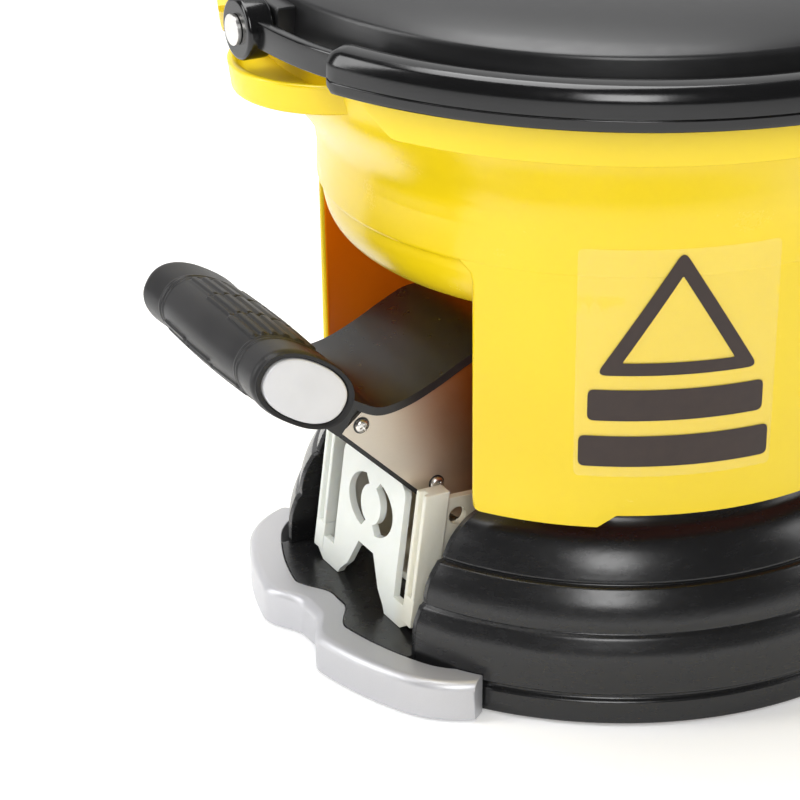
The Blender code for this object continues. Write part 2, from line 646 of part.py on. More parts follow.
def make_cheek(name, side):
    low = min(side * CHEEK_IN, side * CHEEK_OUT)
    outline = side_outline(0, -155 * MM, GAP)
    holes = [list(reversed(circle((PIVOT_X, PIVOT_Z), BUSH_R + GAP)))]
    holes += [list(reversed(circle(p, 2 * MM, 12))) for p in CHEEK_SCREWS]
    return prism(name, outline, low, low + CHEEK_T, holes=holes, mat=ZINC)


def grip_ring(y, scale_a=1.0, scale_b=1.0, count=32, power=2.3):
    """One oval section of the grip at a place along its axis."""
    ring = []
    tilt = radians(180 - GRIP_TILT)
    for i in range(count):
        t = 2 * pi * i / count
        c, s = cos(t), sin(t)
        a = GRIP_A * scale_a * abs(c) ** (2 / power) * (1 if c >= 0 else -1)
        b = GRIP_B * scale_b * abs(s) ** (2 / power) * (1 if s >= 0 else -1)
        ring.append((GRIP_X + a * cos(tilt) - b * sin(tilt), y, GRIP_Z + a * sin(tilt) + b * cos(tilt)))
    return ring


def make_grip():
    """Rubber sleeve over the arm's bar, slit along its inner side where the arm comes in."""
    end = GRIP_HALF
    sections = [(-end, 0.97), (-end + 4 * MM, 1.0), (-end + 22 * MM, 0.95), (0, 0.99), (end - 22 * MM, 0.95),
                (end - 4 * MM, 1.0), (end, 0.97)]
    grip = sweep("pedal_grip", [grip_ring(y, k, k) for y, k in sections], RUBBER)
    bore = sweep("grip_bore", [grip_ring(y, CORE_A + 0.02, CORE_B + 0.04, 16) for y in (-end - 5 * MM,
                 end + 5 * MM)], collection=CUTTERS)
    seats = [sweep("cap_seat_%d" % i, [grip_ring(y, 0.83 + 0.03, 0.83 + 0.04) for y in ends],
                   collection=CUTTERS)
             for i, ends in enumerate(((-end - 5 * MM, -end + CAP_T), (end - CAP_T, end + 5 * MM)))]
    slit = prism("grip_slit", [(-195 * MM, 167 * MM), (-150 * MM, 144 * MM), (-150 * MM, 116 * MM),
                               (-176 * MM, 130 * MM), (-188 * MM, 150 * MM)],
                 -ARM_HALF - GAP, ARM_HALF + GAP, collection=CUTTERS)
    return cut(grip, bore, *seats, slit)


def make_caps():
    end = GRIP_HALF
    for name, low, high in (("grip_cap_near", -end - 0.4 * MM, -end + CAP_T - GAP),
                            ("grip_cap_far", end - CAP_T + GAP, end + 0.4 * MM)):
        sweep(name, [grip_ring(low, 0.83, 0.83), grip_ring(high, 0.83, 0.83)], SILVER)


def make_pedal_hardware():
    for side, tag in SIDES:
        for i, (x, z) in enumerate(CHEEK_SCREWS):
            screw("cheek_screw_%s_%d" % (tag, i + 1), (x, side * (CHEEK_OUT + GAP), z), (0, side, 0),
                  length=6 * MM)
    for side, tag in SIDES:
        low = min(side * (FLANGE_OUT - FLANGE_T - 1 * MM), side * (CHEEK_OUT + 1.5 * MM))
        high = max(side * (FLANGE_OUT - FLANGE_T - 1 * MM), side * (CHEEK_OUT + 1.5 * MM))
        bush = rod("pivot_bush_%s" % tag, (PIVOT_X, low, PIVOT_Z), (PIVOT_X, high, PIVOT_Z), BUSH_R, NYLON)
        cut(bush, rod("bush_bore_%s" % tag, (PIVOT_X, low - 1 * MM, PIVOT_Z),
                      (PIVOT_X, high + 1 * MM, PIVOT_Z), PIVOT_R + GAP, collection=CUTTERS))
    # crank on the inner face of the +Y flange
    y1 = FLANGE_OUT - FLANGE_T - GAP - 1 * MM
    y0 = y1 - 3.5 * MM
    outline = (arc((PIVOT_X, PIVOT_Z), 12 * MM, 0, 180, 12)
               + arc((PIVOT_X, PIVOT_Z - CRANK_LEN), 7 * MM, 180, 360, 10))
    crank = prism("pedal_crank", outline, y0, y1,
                  holes=[list(reversed(circle((PIVOT_X, PIVOT_Z), PIVOT_R + GAP)))], mat=ZINC)
    pin = rod("crank_pin_solid", (PIVOT_X, RACK_NEAR_Y - 1 * MM, PIVOT_Z - CRANK_LEN),
              (PIVOT_X, y1 - 0.5 * MM, PIVOT_Z - CRANK_LEN), CRANK_PIN_R, collection=CUTTERS, sides=16)
    add(crank, pin)


# ---------------------------------------------------------------- guide bracket, shaft and spring
def make_guide_bracket():
    """Natural nylon guide: slotted front plate between two posts, side walls with pivot bosses."""
    foot = WELL_FLOOR_Z + GAP
    groove_y = (BRACKET_HALF + POST_IN) / 2
    x0, x1 = BRACKET_FRONT_X, BRACKET_FRONT_X + BRACKET_PLATE_T
    web = 32 * MM
    half, tongue = BRACKET_HALF - 1 * MM, TONGUE_HALF
    outline = [(-half, foot + 6 * MM), (-half + 9 * MM, foot), (-24 * MM, foot), (-22 * MM, foot + 3 * MM),
               (-15.5 * MM, foot + 9 * MM), (-7.5 * MM, 44 * MM), (7.5 * MM, 44 * MM),
               (15.5 * MM, foot + 9 * MM), (22 * MM, foot + 3 * MM), (24 * MM, foot),
               (half - 9 * MM, foot), (half, foot + 6 * MM),
               (half, web), (tongue, web)]
    outline += arc((tongue - 7 * MM, BRACKET_TOP_Z - 7 * MM), 7 * MM, 0, 90, 6)
    outline += arc((-tongue + 7 * MM, BRACKET_TOP_Z - 7 * MM), 7 * MM, 90, 180, 6)
    outline += [(-tongue, web), (-half, web)]
    slots = []
    for side in (-1, 1):
        outer = [(side * (3 * MM + 19 * MM * cos(radians(t))), SLOT_Z + 13.7 * MM * sin(radians(t)))
                 for t in range(-78, 79, 26)]
        inner = [(side * 9.8 * MM * cos(radians(t)), SLOT_Z + 9.8 * MM * sin(radians(t)))
                 for t in range(70, -71, -28)]
        ring = outer + inner
        slots.append(ring if side < 0 else list(reversed(ring)))
    bracket = prism("guide_bracket", outline, x0, x1, axis="X", holes=slots, mat=NYLON)
    for side in (-1, 1):
        tag = side + 1
        outer, inner = BRACKET_HALF, POST_IN
        y0, y1 = min(side * outer, side * inner), max(side * outer, side * inner)
        post = box("post_%d" % tag, (x0 - 0.5 * MM, y0, foot + 4 * MM),
                   (x0 + POST_LEN, y1, BRACKET_TOP_Z + 3 * MM), collection=CUTTERS)
        groove = box("post_groove_%d" % tag, (x0 - 3 * MM, side * groove_y - 1.6 * MM, foot + 18 * MM),
                     (x0 + 2.5 * MM, side * groove_y + 1.6 * MM, BRACKET_TOP_Z + 8 * MM), collection=CUTTERS)
        cut(post, groove)
        wall_in = POST_IN + 2 * MM
        w0, w1 = sorted((side * wall_in, side * (wall_in + SIDE_T)))
        wall = prism("side_wall_%d" % tag, [
            (x0 + POST_LEN - 1 * MM, foot), (BRACKET_BACK_X, foot), (BRACKET_BACK_X, 60 * MM),
            (BRACKET_BACK_X - 4 * MM, 84 * MM), (x0 + POST_LEN - 1 * MM, 86 * MM)], w0, w1,
            collection=CUTTERS)
        b0, b1 = sorted((side * (POST_IN + 0.5 * MM), side * (BRACKET_HALF + 1 * MM)))
        boss = rod("pivot_boss_%d" % tag, (PIVOT_X, b0, PIVOT_Z), (PIVOT_X, b1, PIVOT_Z), 11 * MM,
                   collection=CUTTERS, sides=18)
        leaf = rod("leaf_%d" % tag, (-110 * MM, w0 - 6 * MM, 76 * MM), (-110 * MM, w1 + 6 * MM, 76 * MM),
                   4.5 * MM, collection=CUTTERS, sides=16)
        add(bracket, post, wall, boss)
        cut(bracket, leaf)
    sill = box("bracket_sill", (-112 * MM, -BRACKET_HALF + 4 * MM, foot),
               (BRACKET_BACK_X, BRACKET_HALF - 4 * MM, foot + 4 * MM), collection=CUTTERS)
    add(bracket, sill)
    bore = rod("bracket_bore", (PIVOT_X, -60 * MM, PIVOT_Z), (PIVOT_X, 60 * MM, PIVOT_Z), PIVOT_R + GAP,
               collection=CUTTERS)
    return cut(bracket, bore)


def make_pivot_and_spring():
    reach = BRACKET_HALF + 3 * MM
    rod("pedal_shaft", (PIVOT_X, -reach, PIVOT_Z), (PIVOT_X, reach, PIVOT_Z), PIVOT_R, STEEL)
    for side, tag in SIDES:
        y0 = side * (BRACKET_HALF + 1 * MM + GAP)
        clip = rod("shaft_clip_%s" % tag, (PIVOT_X, y0, PIVOT_Z), (PIVOT_X, y0 + side * 1.2 * MM, PIVOT_Z),
                   8 * MM, STEEL)
        cut(clip, rod("clip_bore_%s" % tag, (PIVOT_X, y0 - 3 * MM, PIVOT_Z), (PIVOT_X, y0 + 3 * MM, PIVOT_Z),
                      PIVOT_R + GAP, collection=CUTTERS))
    turns, per_turn, coil_r, wire_r = 5, 10, 9 * MM, 1.3 * MM
    points = []
    for i in range(turns * per_turn + 1):
        t = 2 * pi * i / per_turn
        y = -24 * MM + 26 * MM * i / (turns * per_turn)
        points.append((PIVOT_X + coil_r * cos(t), y, PIVOT_Z + coil_r * sin(t)))
    first, last = points[0], points[-1]
    points = ([(first[0], first[1], first[2] - 22 * MM), (first[0], first[1], first[2] - 8 * MM)] + points
              + [(last[0], last[1], last[2] + 14 * MM)])
    wire("return_spring", points, wire_r, STEEL, sides=1)


# ---------------------------------------------------------------- gear train
def make_rack():
    pitch = pi * MODULE
    back = RACK_NEAR_Y
    front = RACK_PITCH_Y - TOOTH_ROOT
    end = LAY_X + 1.6 * pitch
    first = LAY_X - 5.5 * pitch
    ring = [(end, front), (end, back), (PIVOT_X + 8 * MM, back), (PIVOT_X + 8 * MM, front)]
    k = 0
    while first + k * pitch < end - pitch * 0.5:
        x = first + k * pitch
        for dx, y in ((-0.24, front), (-0.13, RACK_PITCH_Y + TOOTH_REACH), (0.13, RACK_PITCH_Y + TOOTH_REACH),
                      (0.24, front)):
            ring.append((x + dx * pitch, y))
        k += 1
    rack = prism("drive_rack", ring, RACK_Z, RACK_Z + RACK_H, axis="Z", mat=NYLON)
    yoke = box("yoke", (PIVOT_X - 9 * MM, back, RACK_Z - 2 * MM), (PIVOT_X + 9 * MM, front, RACK_Z + 20 * MM),
               collection=CUTTERS)
    slot = box("yoke_slot", (PIVOT_X - CRANK_PIN_R - 1 * MM, back - 5 * MM, RACK_Z),
               (PIVOT_X + CRANK_PIN_R + 1 * MM, front + 5 * MM, RACK_Z + 16 * MM), collection=CUTTERS)
    add(rack, yoke)
    return cut(rack, slot)


def make_gears():
    toward_shaft = degrees(atan2(-LAY_Y, -LAY_X))
    wheel = prism("compound_gear", gear_outline((LAY_X, LAY_Y), WHEEL_TEETH, toward_shaft), WHEEL_Z,
                  WHEEL_Z + WHEEL_T, axis="Z", mat=NYLON)
    small = prism("small_gear", gear_outline((LAY_X, LAY_Y), SMALL_TEETH, -90.0), RACK_Z - 0.5 * MM,
                  WHEEL_Z + 1 * MM, axis="Z", collection=CUTTERS)
    bore = rod("gear_bore", (LAY_X, LAY_Y, 20 * MM), (LAY_X, LAY_Y, 60 * MM), LAY_R + GAP, collection=CUTTERS)
    cut(add(wheel, small), bore)
    toward_lay = degrees(atan2(LAY_Y, LAY_X))
    pinion = prism("clutch_pinion", gear_outline((0, 0), PINION_TEETH, toward_lay + 180 / PINION_TEETH),
                   WHEEL_Z - 0.5 * MM, WHEEL_Z + WHEEL_T + 0.5 * MM, axis="Z", mat=STEEL)
    cut(pinion, rod("pinion_bore", (0, 0, 40 * MM), (0, 0, 56 * MM), SHAFT_R + GAP, collection=CUTTERS))


PLATE_CORNERS = [(-24 * MM, -28 * MM), (80 * MM, -28 * MM), (80 * MM, 80 * MM), (-24 * MM, 80 * MM)]


def plate_outline(grow=8 * MM):
    (x0, y0), (x1, _), (_, y1), _ = PLATE_CORNERS
    ring = []
    for (cx, cy), start in (((x1, y1), 0), ((x0, y1), 90), ((x0, y0), 180), ((x1, y0), 270)):
        ring += arc((cx, cy), grow, start, start + 90, 6)
    return ring


def make_frame():
    layers = (("lower_plate", LOW_PLATE_Z, 3 * MM), ("upper_plate", HIGH_PLATE_Z, BEARING_R + GAP))
    for name, z, hole in layers:
        holes = [list(reversed(circle((LAY_X, LAY_Y), LAY_R + GAP))), list(reversed(circle((0, 0), hole)))]
        holes += [list(reversed(circle(corner, POST_R + GAP, 12))) for corner in PLATE_CORNERS]
        prism(name, plate_outline(), z, z + PLATE_T, axis="Z", holes=holes, mat=ZINC)
    for i, (x, y) in enumerate(PLATE_CORNERS):
        post = rod("frame_post_%d" % (i + 1), (x, y, PAN_Z + PAN_T + GAP),
                   (x, y, HIGH_PLATE_Z + PLATE_T + 2 * MM), POST_R, STEEL, sides=8)
        for low, high in ((PAN_Z + PAN_T + GAP, LOW_PLATE_Z - GAP),
                          (LOW_PLATE_Z + PLATE_T + GAP, HIGH_PLATE_Z - GAP)):
            add(post, rod("post_body_%d" % (i + 1), (x, y, low), (x, y, high), POST_R + 2 * MM,
                          collection=CUTTERS, sides=8))
    rod("lay_shaft", (LAY_X, LAY_Y, LOW_PLATE_Z - 4 * MM), (LAY_X, LAY_Y, HIGH_PLATE_Z + 6 * MM), LAY_R,
        STEEL)
    top = LOW_PLATE_Z + PLATE_T + GAP
    lathe("thrust_bearing", [(BEARING_R, top + 9 * MM), (BEARING_R, top), (0, top),
                             (0, SHAFT_FOOT_Z - GAP), (SHAFT_R + GAP, SHAFT_FOOT_Z - GAP),
                             (SHAFT_R + GAP, top + 9 * MM)], NYLON, steps=20)
    lathe("upper_bearing", [(BEARING_R, HIGH_PLATE_Z + 8 * MM), (BEARING_R, HIGH_PLATE_Z - 2 * MM),
                            (SHAFT_R + GAP, HIGH_PLATE_Z - 2 * MM), (SHAFT_R + GAP, HIGH_PLATE_Z + 8 * MM)],
          STEEL, steps=20)
    guide_z = LOW_PLATE_Z + PLATE_T + GAP
    front = RACK_PITCH_Y - TOOTH_ROOT
    channel = box("rack_channel", (-24 * MM, RACK_NEAR_Y - RUN_GAP - 3 * MM, guide_z),
                  (-14 * MM, front + RUN_GAP + 3 * MM, RACK_Z + RACK_H), mat=NYLON)
    cut(channel, box("channel_cut", (-30 * MM, RACK_NEAR_Y - RUN_GAP, RACK_Z - RUN_GAP),
                     (-8 * MM, front + RUN_GAP, RACK_Z + RACK_H + 5 * MM), collection=CUTTERS))
    box("rack_rail", (LAY_X - 16 * MM, RACK_NEAR_Y - RUN_GAP - 3 * MM, guide_z),
        (LAY_X + 14 * MM, RACK_NEAR_Y - RUN_GAP, RACK_Z + RACK_H), mat=NYLON)


# ---------------------------------------------------------------- basket
def make_basket():
    t = BASKET_WALL
    z0, z1 = BASKET_Z, BASKET_TOP_Z
    basket = lathe("wringer_basket", [
        (BASKET_R + 3 * MM, z1), (BASKET_R + 3 * MM, z1 - 3 * MM), (BASKET_R, z1 - 4 * MM),
        (BASKET_FLOOR_R + 2 * MM, z0 + 6 * MM), (BASKET_FLOOR_R - 4 * MM, z0), (SHAFT_R + GAP, z0),
        (SHAFT_R + GAP, z0 + t), (BASKET_FLOOR_R - 5 * MM, z0 + t), (BASKET_FLOOR_R - 0.5 * MM, z0 + 7 * MM),
        (BASKET_R - t, z1 - 3 * MM), (BASKET_R - t, z1)], BLACK)
    rows = []
    count = BASKET_SLOTS // 2
    for row, (low, high) in enumerate(((z0 + 14 * MM, z0 + 46 * MM), (z0 + 54 * MM, z0 + 86 * MM))):
        for i in range(count):
            turn = pi * (i + 0.5 * row) / count
            bar = box("slot_%d_%d" % (row, i), (-120 * MM, -3 * MM, low), (120 * MM, 3 * MM, high))
            bar.matrix_world = Matrix.Rotation(turn, 4, "Z")
            rows.append(bar)
    # each row's bars are joined so that they can cut as one clean solid
    for row in range(2):
        bars = rows[row * count:(row + 1) * count]
        star = bars[0]
        star.name = "slot_star_%d" % row
        add(star, *bars[1:])
        core = rod("slot_core_%d" % row, (0, 0, z0 + 10 * MM), (0, 0, z0 + 90 * MM), 70 * MM,
                   collection=CUTTERS)
        cut(star, core)
        combine(basket, star, "DIFFERENCE")
    return basket


def make_spin_shaft():
    top = BASKET_Z + BASKET_WALL + 12 * MM
    rod("spin_shaft", (0, 0, SHAFT_FOOT_Z), (0, 0, top), SHAFT_R, STEEL, sides=32)
    hub_low, hub_high = BASKET_Z - 7 * MM, BASKET_Z - GAP
    lathe("basket_hub", [(22 * MM, hub_high), (20 * MM, hub_low), (SHAFT_R + GAP, hub_low),
                         (SHAFT_R + GAP, hub_high)], STEEL, steps=24)
    z = BASKET_Z + BASKET_WALL + GAP
    nut = rod("basket_nut", (0, 0, z), (0, 0, z + 6 * MM), 10 * MM, STEEL, sides=6)
    cut(nut, rod("nut_bore", (0, 0, z - 2 * MM), (0, 0, z + 9 * MM), SHAFT_R + GAP, collection=CUTTERS))
    ratchet = prism("clutch_ratchet", gear_outline((0, 0), 12, 0.0, 1.4 * MM), WHEEL_Z + WHEEL_T + 0.9 * MM,
                    WHEEL_Z + WHEEL_T + 3.2 * MM, axis="Z", mat=STEEL)
    cut(ratchet, rod("ratchet_bore", (0, 0, 45 * MM), (0, 0, 60 * MM), SHAFT_R + GAP, collection=CUTTERS))
    low = 197 * MM
    lathe("shaft_seal", [(16 * MM - GAP, low + 8 * MM), (16 * MM - GAP, low), (SHAFT_R + GAP, low),
                         (SHAFT_R + GAP, low + 8 * MM)], RUBBER, steps=20)


# ---------------------------------------------------------------- bail handle
def bail_ring(angle, half_r, half_z, corner=0.35, count=12, radius=BAIL_R):
    """A rounded section of the bail at an angle from the pedal's direction."""
    ring = []
    for i in range(count):
        t = 2 * pi * (i + 0.5) / count
        c, s = cos(t), sin(t)
        r = half_r * abs(c) ** corner * (1 if c >= 0 else -1)
        z = half_z * abs(s) ** corner * (1 if s >= 0 else -1)
        ring.append((*toward(angle, radius + r), BAIL_Z + z))
    return ring


def make_bail():
    hub_mid = HUB_X + HUB_T / 2
    start = 3.5
    rings = []
    for i in range(BAIL_STEPS + 1):
        near_hub = max(0.0, 1 - min(i, BAIL_STEPS - i) / 2)
        rings.append(bail_ring(start + (180 - 2 * start) * i / BAIL_STEPS, STRAP_A, STRAP_B, count=8,
                               radius=BAIL_R + (hub_mid - BAIL_R) * near_hub))
    strap = sweep("bail_strap", rings, BLACK)
    for side in (-1, 1):
        hub = rod("bail_hub_%d" % (side + 1), (side * HUB_X, 0, BAIL_Z), (side * (HUB_X + HUB_T), 0, BAIL_Z),
                  HUB_R, collection=CUTTERS, sides=28)
        add(strap, hub)
        cut(strap, rod("hub_bore_%d" % (side + 1), (side * (HUB_X - 5 * MM), 0, BAIL_Z),
                       (side * (HUB_X + HUB_T + 5 * MM), 0, BAIL_Z), BAIL_PIN_R + GAP, collection=CUTTERS))
    first, last = BAIL_GRIP_FROM, 180 - BAIL_GRIP_FROM
    outer = [bail_ring(first + (last - first) * i / 20, BAIL_GRIP_A, BAIL_GRIP_B, 0.7, 12) for i in range(21)]
    grip = sweep("bail_grip", outer, BLACK)
    first, last = first - 6, last + 6
    inner = [bail_ring(first + (last - first) * i / 24, STRAP_A + 2 * GAP, STRAP_B + 2 * GAP, count=8)
             for i in range(25)]
    cut(grip, sweep("bail_grip_bore", inner, collection=CUTTERS))
    for side, tag in ((-1, "front"), (1, "rear")):
        pin = rod("bail_pin_%s" % tag, (side * (GUARD_R - 6 * MM), 0, BAIL_Z),
                  (side * (HUB_X + HUB_T + 1 * MM), 0, BAIL_Z), BAIL_PIN_R, STEEL)
        head_x = HUB_X + HUB_T + GAP
        add(pin, rod("bail_pin_head_%d" % (side + 1), (side * head_x, 0, BAIL_Z),
                     (side * (head_x + 1.8 * MM), 0, BAIL_Z), 7 * MM, collection=CUTTERS))


# ---------------------------------------------------------------- label
def make_label():
    """Thin clear film stuck on the skirt, following its slight taper."""
    def wall(z):
        return TANK_R - 2 * MM * max(0.0, SKIRT_BEND_Z - z) / (SKIRT_BEND_Z - SKIRT_Z)
    heights = (LABEL_LOW, SKIRT_BEND_Z, LABEL_HIGH)
    rings = []
    for i in range(17):
        angle = LABEL_FROM + (LABEL_TO - LABEL_FROM) * i / 16
        section = [(wall(z) + LABEL_OFF + LABEL_T, z) for z in heights]
        section += [(wall(z) + LABEL_OFF, z) for z in reversed(heights)]
        rings.append([(*toward(angle, r), z) for r, z in section])
    sweep("label_panel", rings, FILM)


make_base_shell()
make_pedal_well()
make_base_pan()
make_feet()
make_bumper()
make_bucket_body()
make_splash_guard()
make_pedal_arm()
make_cheek("cheek_near", -1)
make_cheek("cheek_far", 1)
make_grip()
make_caps()
make_pedal_hardware()
make_guide_bracket()
make_pivot_and_spring()
make_rack()
make_gears()
make_frame()
make_basket()
make_spin_shaft()
make_bail()
make_label()
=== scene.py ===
# %% [markdown]
# # A pedal mop bucket with a spinning wringer
#
# This is a floor-cleaning bucket: a ribbed black base, a round yellow tank, a silver bumper where the toe
# goes, and a pedal. Pressing the pedal pushes a rack that spins the black basket in the tank, and the spin
# wrings the mop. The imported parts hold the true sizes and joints. The cells below give each visible part its
# fine surface, its finish and its light.

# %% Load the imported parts
import json
from math import cos, degrees, hypot, pi, radians, sin, sqrt

import bmesh
import bpy
from mathutils import Matrix, Vector


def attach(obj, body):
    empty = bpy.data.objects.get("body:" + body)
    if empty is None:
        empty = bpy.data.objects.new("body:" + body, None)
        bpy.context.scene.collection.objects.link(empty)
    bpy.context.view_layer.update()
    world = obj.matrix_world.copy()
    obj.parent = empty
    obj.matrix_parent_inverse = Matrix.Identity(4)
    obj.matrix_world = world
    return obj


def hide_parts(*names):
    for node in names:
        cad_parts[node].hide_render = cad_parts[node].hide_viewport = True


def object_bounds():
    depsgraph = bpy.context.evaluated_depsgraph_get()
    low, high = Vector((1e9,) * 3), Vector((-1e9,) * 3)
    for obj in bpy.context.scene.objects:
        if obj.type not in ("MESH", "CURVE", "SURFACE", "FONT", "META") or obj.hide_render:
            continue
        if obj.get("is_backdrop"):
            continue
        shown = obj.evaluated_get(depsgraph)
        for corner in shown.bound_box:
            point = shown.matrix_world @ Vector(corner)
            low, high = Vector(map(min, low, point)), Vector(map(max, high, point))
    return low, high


MM = 0.001
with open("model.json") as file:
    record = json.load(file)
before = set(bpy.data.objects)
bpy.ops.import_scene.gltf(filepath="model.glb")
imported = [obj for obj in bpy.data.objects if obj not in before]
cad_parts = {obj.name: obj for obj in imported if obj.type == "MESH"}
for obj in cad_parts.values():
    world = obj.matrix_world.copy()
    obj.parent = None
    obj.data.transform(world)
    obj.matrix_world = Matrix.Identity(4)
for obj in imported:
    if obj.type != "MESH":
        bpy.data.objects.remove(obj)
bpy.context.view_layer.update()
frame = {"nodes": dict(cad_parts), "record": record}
nodes = frame["nodes"]

# %% [markdown]
# ## Camera
#
# A long lens from above the pedal's side keeps the round tank from looking stretched. The tank fills the
# picture from corner to corner, so the pedal and the bumper are seen close.

# %% Camera
camera_data = bpy.data.cameras.new("camera")
camera_data.lens = 144
camera_data.sensor_width = 36
camera = bpy.data.objects.new("camera", camera_data)
camera.location = (-0.757, -1.207, 0.740)
camera.rotation_euler = (radians(65.5), 0, radians(-28))
bpy.context.scene.collection.objects.link(camera)
bpy.context.scene.camera = camera
print("camera", camera_data.lens, "mm")


# %% [markdown]
# ## Finishes as sums
#
# A procedural finish is a small sum of noise, bands and colours. Writing it as a Python expression is easier
# to read than wiring boxes by hand, so one class wraps a shader socket and adds a Math node for each
# operator, and a second class holds the material and adds any other node.

# %% Shader helpers
class Sock:
    """A shader output that can be used in sums."""

    def __init__(self, finish, output):
        self.finish = finish
        self.output = output

    def math(self, operation, left, right=0.0):
        return self.finish.node("Math", {"operation": operation}, {0: left, 1: right})

    def __add__(self, other):
        return self.math("ADD", self, other)

    def __radd__(self, other):
        return self.math("ADD", other, self)

    def __sub__(self, other):
        return self.math("SUBTRACT", self, other)

    def __rsub__(self, other):
        return self.math("SUBTRACT", other, self)

    def __mul__(self, other):
        return self.math("MULTIPLY", self, other)

    def __rmul__(self, other):
        return self.math("MULTIPLY", other, self)

    def above(self, edge, soft):
        """0 below the edge and 1 above it, over a soft step."""
        return self.finish.node("MapRange", {"interpolation_type": "SMOOTHSTEP"},
                                {0: self, 1: edge - soft, 2: edge + soft, 3: 0.0, 4: 1.0})


class Finish:
    """A procedural material."""

    def __init__(self, name, constants):
        self.material = bpy.data.materials.new(name)
        self.material.use_nodes = True
        self.tree = self.material.node_tree
        self.shader = self.tree.nodes["Principled BSDF"]
        for socket, value in constants.items():
            self.shader.inputs[socket].default_value = value
        self.place = self.node("TexCoord", out="Object")

    def node(self, kind, settings=None, inputs=None, out=0):
        made = self.tree.nodes.new("ShaderNode" + kind)
        for name, value in (settings or {}).items():
            setattr(made, name, value)
        for key, value in (inputs or {}).items():
            self.feed(made.inputs[key], value)
        return Sock(self, made.outputs[out])

    def feed(self, socket, value):
        if isinstance(value, Sock):
            self.tree.links.new(value.output, socket)
        else:
            socket.default_value = value

    def noise(self, scale, detail=2.0, stretch=(1, 1, 1), rough=0.5):
        """Noise from 0 to 1; scale is in waves per metre, and stretch squeezes it along an axis."""
        spot = self.node("VectorMath", {"operation": "MULTIPLY"}, {0: self.place, 1: stretch})
        return self.node("TexNoise", {}, {"Vector": spot, "Scale": scale, "Detail": detail,
                                          "Roughness": rough})

    def axes(self):
        made = self.node("SeparateXYZ", {}, {0: self.place})
        outputs = made.output.node.outputs
        return [Sock(self, outputs[i]) for i in range(3)]

    def mix(self, factor, low, high):
        return self.node("Mix", {"data_type": "RGBA"}, {0: factor, 6: low, 7: high}, out=2)

    def bump(self, height, distance, strength=1.0):
        made = self.node("Bump", {}, {"Height": height, "Distance": distance, "Strength": strength})
        self.feed(self.shader.inputs["Normal"], made)

    def color(self, value):
        self.feed(self.shader.inputs["Base Color"], value)

    def rough(self, value):
        self.feed(self.shader.inputs["Roughness"], value)


def rgb(red, green, blue):
    return (red, green, blue, 1.0)


print("shader helpers ready")

# %% [markdown]
# ## Plastics
#
# The tank is moulded polypropylene. It is never one flat colour: the pigment drifts a little, and the skin
# has a faint orange-peel. The skirt's inner face has a finish of its own: its orange colour is painted shade,
# and a painted glow stands in for the light shut inside the skirt. Black pieces are the same resin with a
# glossier skin that shows rubbing.

# %% Plastic finishes
def tank_yellow():
    finish = Finish("tank_yellow", {"IOR": 1.5, "Specular IOR Level": 0.5})
    drift = finish.noise(9, 3)
    finish.color(finish.mix(drift, rgb(0.78, 0.555, 0.004), rgb(0.85, 0.635, 0.010)))
    peel = finish.noise(900, 2)
    finish.rough(0.20 + 0.08 * finish.noise(40, 4) + 0.03 * peel)
    finish.bump(peel * 0.04 + finish.noise(22, 2) * 0.4, 0.0006, 0.3)
    return finish.material


def painted_glow_lining():
    """The skirt's inner face: matt, with painted orange shade for its colour and a painted glow for the light
    inside the skirt.
    """
    finish = Finish("painted_glow_lining", {"IOR": 1.45, "Specular IOR Level": 0.05, "Emission Strength": 1.0})
    x, y, z = finish.axes()
    cloud = finish.noise(12, 3)
    # Painted shade: the orange base colour stands for the yellow plastic in shadow, reddened by light bouncing
    # inside the skirt.
    finish.color(finish.mix(cloud, rgb(0.72, 0.20, 0.001), rgb(0.82, 0.27, 0.002)))
    # Painted glow: the emission stands in for light inside the skirt, and grows towards the top.
    high = (z * 7.0 - 0.60) * (0.8 + 0.4 * cloud)
    painted_glow_colour = finish.mix(high, rgb(0.02, 0.004, 0), rgb(0.36, 0.072, 0))
    finish.feed(finish.shader.inputs["Emission Color"], painted_glow_colour)
    finish.rough(0.5 + 0.2 * cloud)
    return finish.material


def black_gloss(name, rough=0.24, base=0.018, wave=0.35):
    """Glossy black plastic with faint swirls left by the mould's flow."""
    finish = Finish(name, {"IOR": 1.5, "Specular IOR Level": 0.5})
    flow = finish.noise(16, 4, (1, 1, 2.2))
    deep = rgb(base * 0.8, base * 0.8, base * 0.85)
    worn = rgb(base * 1.5, base * 1.5, base * 1.6)
    finish.color(finish.mix(flow, deep, worn))
    scuff = finish.noise(150, 5, (1, 1, 3))
    finish.rough(rough + 0.14 * scuff + 0.06 * flow)
    finish.bump(flow * wave + finish.noise(700, 2) * 0.03, 0.0008, 0.4)
    return finish.material


def grip_rubber():
    finish = Finish("grip_rubber", {"IOR": 1.45, "Specular IOR Level": 0.28})
    grain = finish.noise(2400, 2)
    dust = finish.noise(60, 4)
    finish.color(finish.mix(dust, rgb(0.010, 0.010, 0.011), rgb(0.026, 0.025, 0.025)))
    finish.rough(0.30 + 0.18 * dust)
    finish.bump(grain, 0.00012, 0.5)
    return finish.material


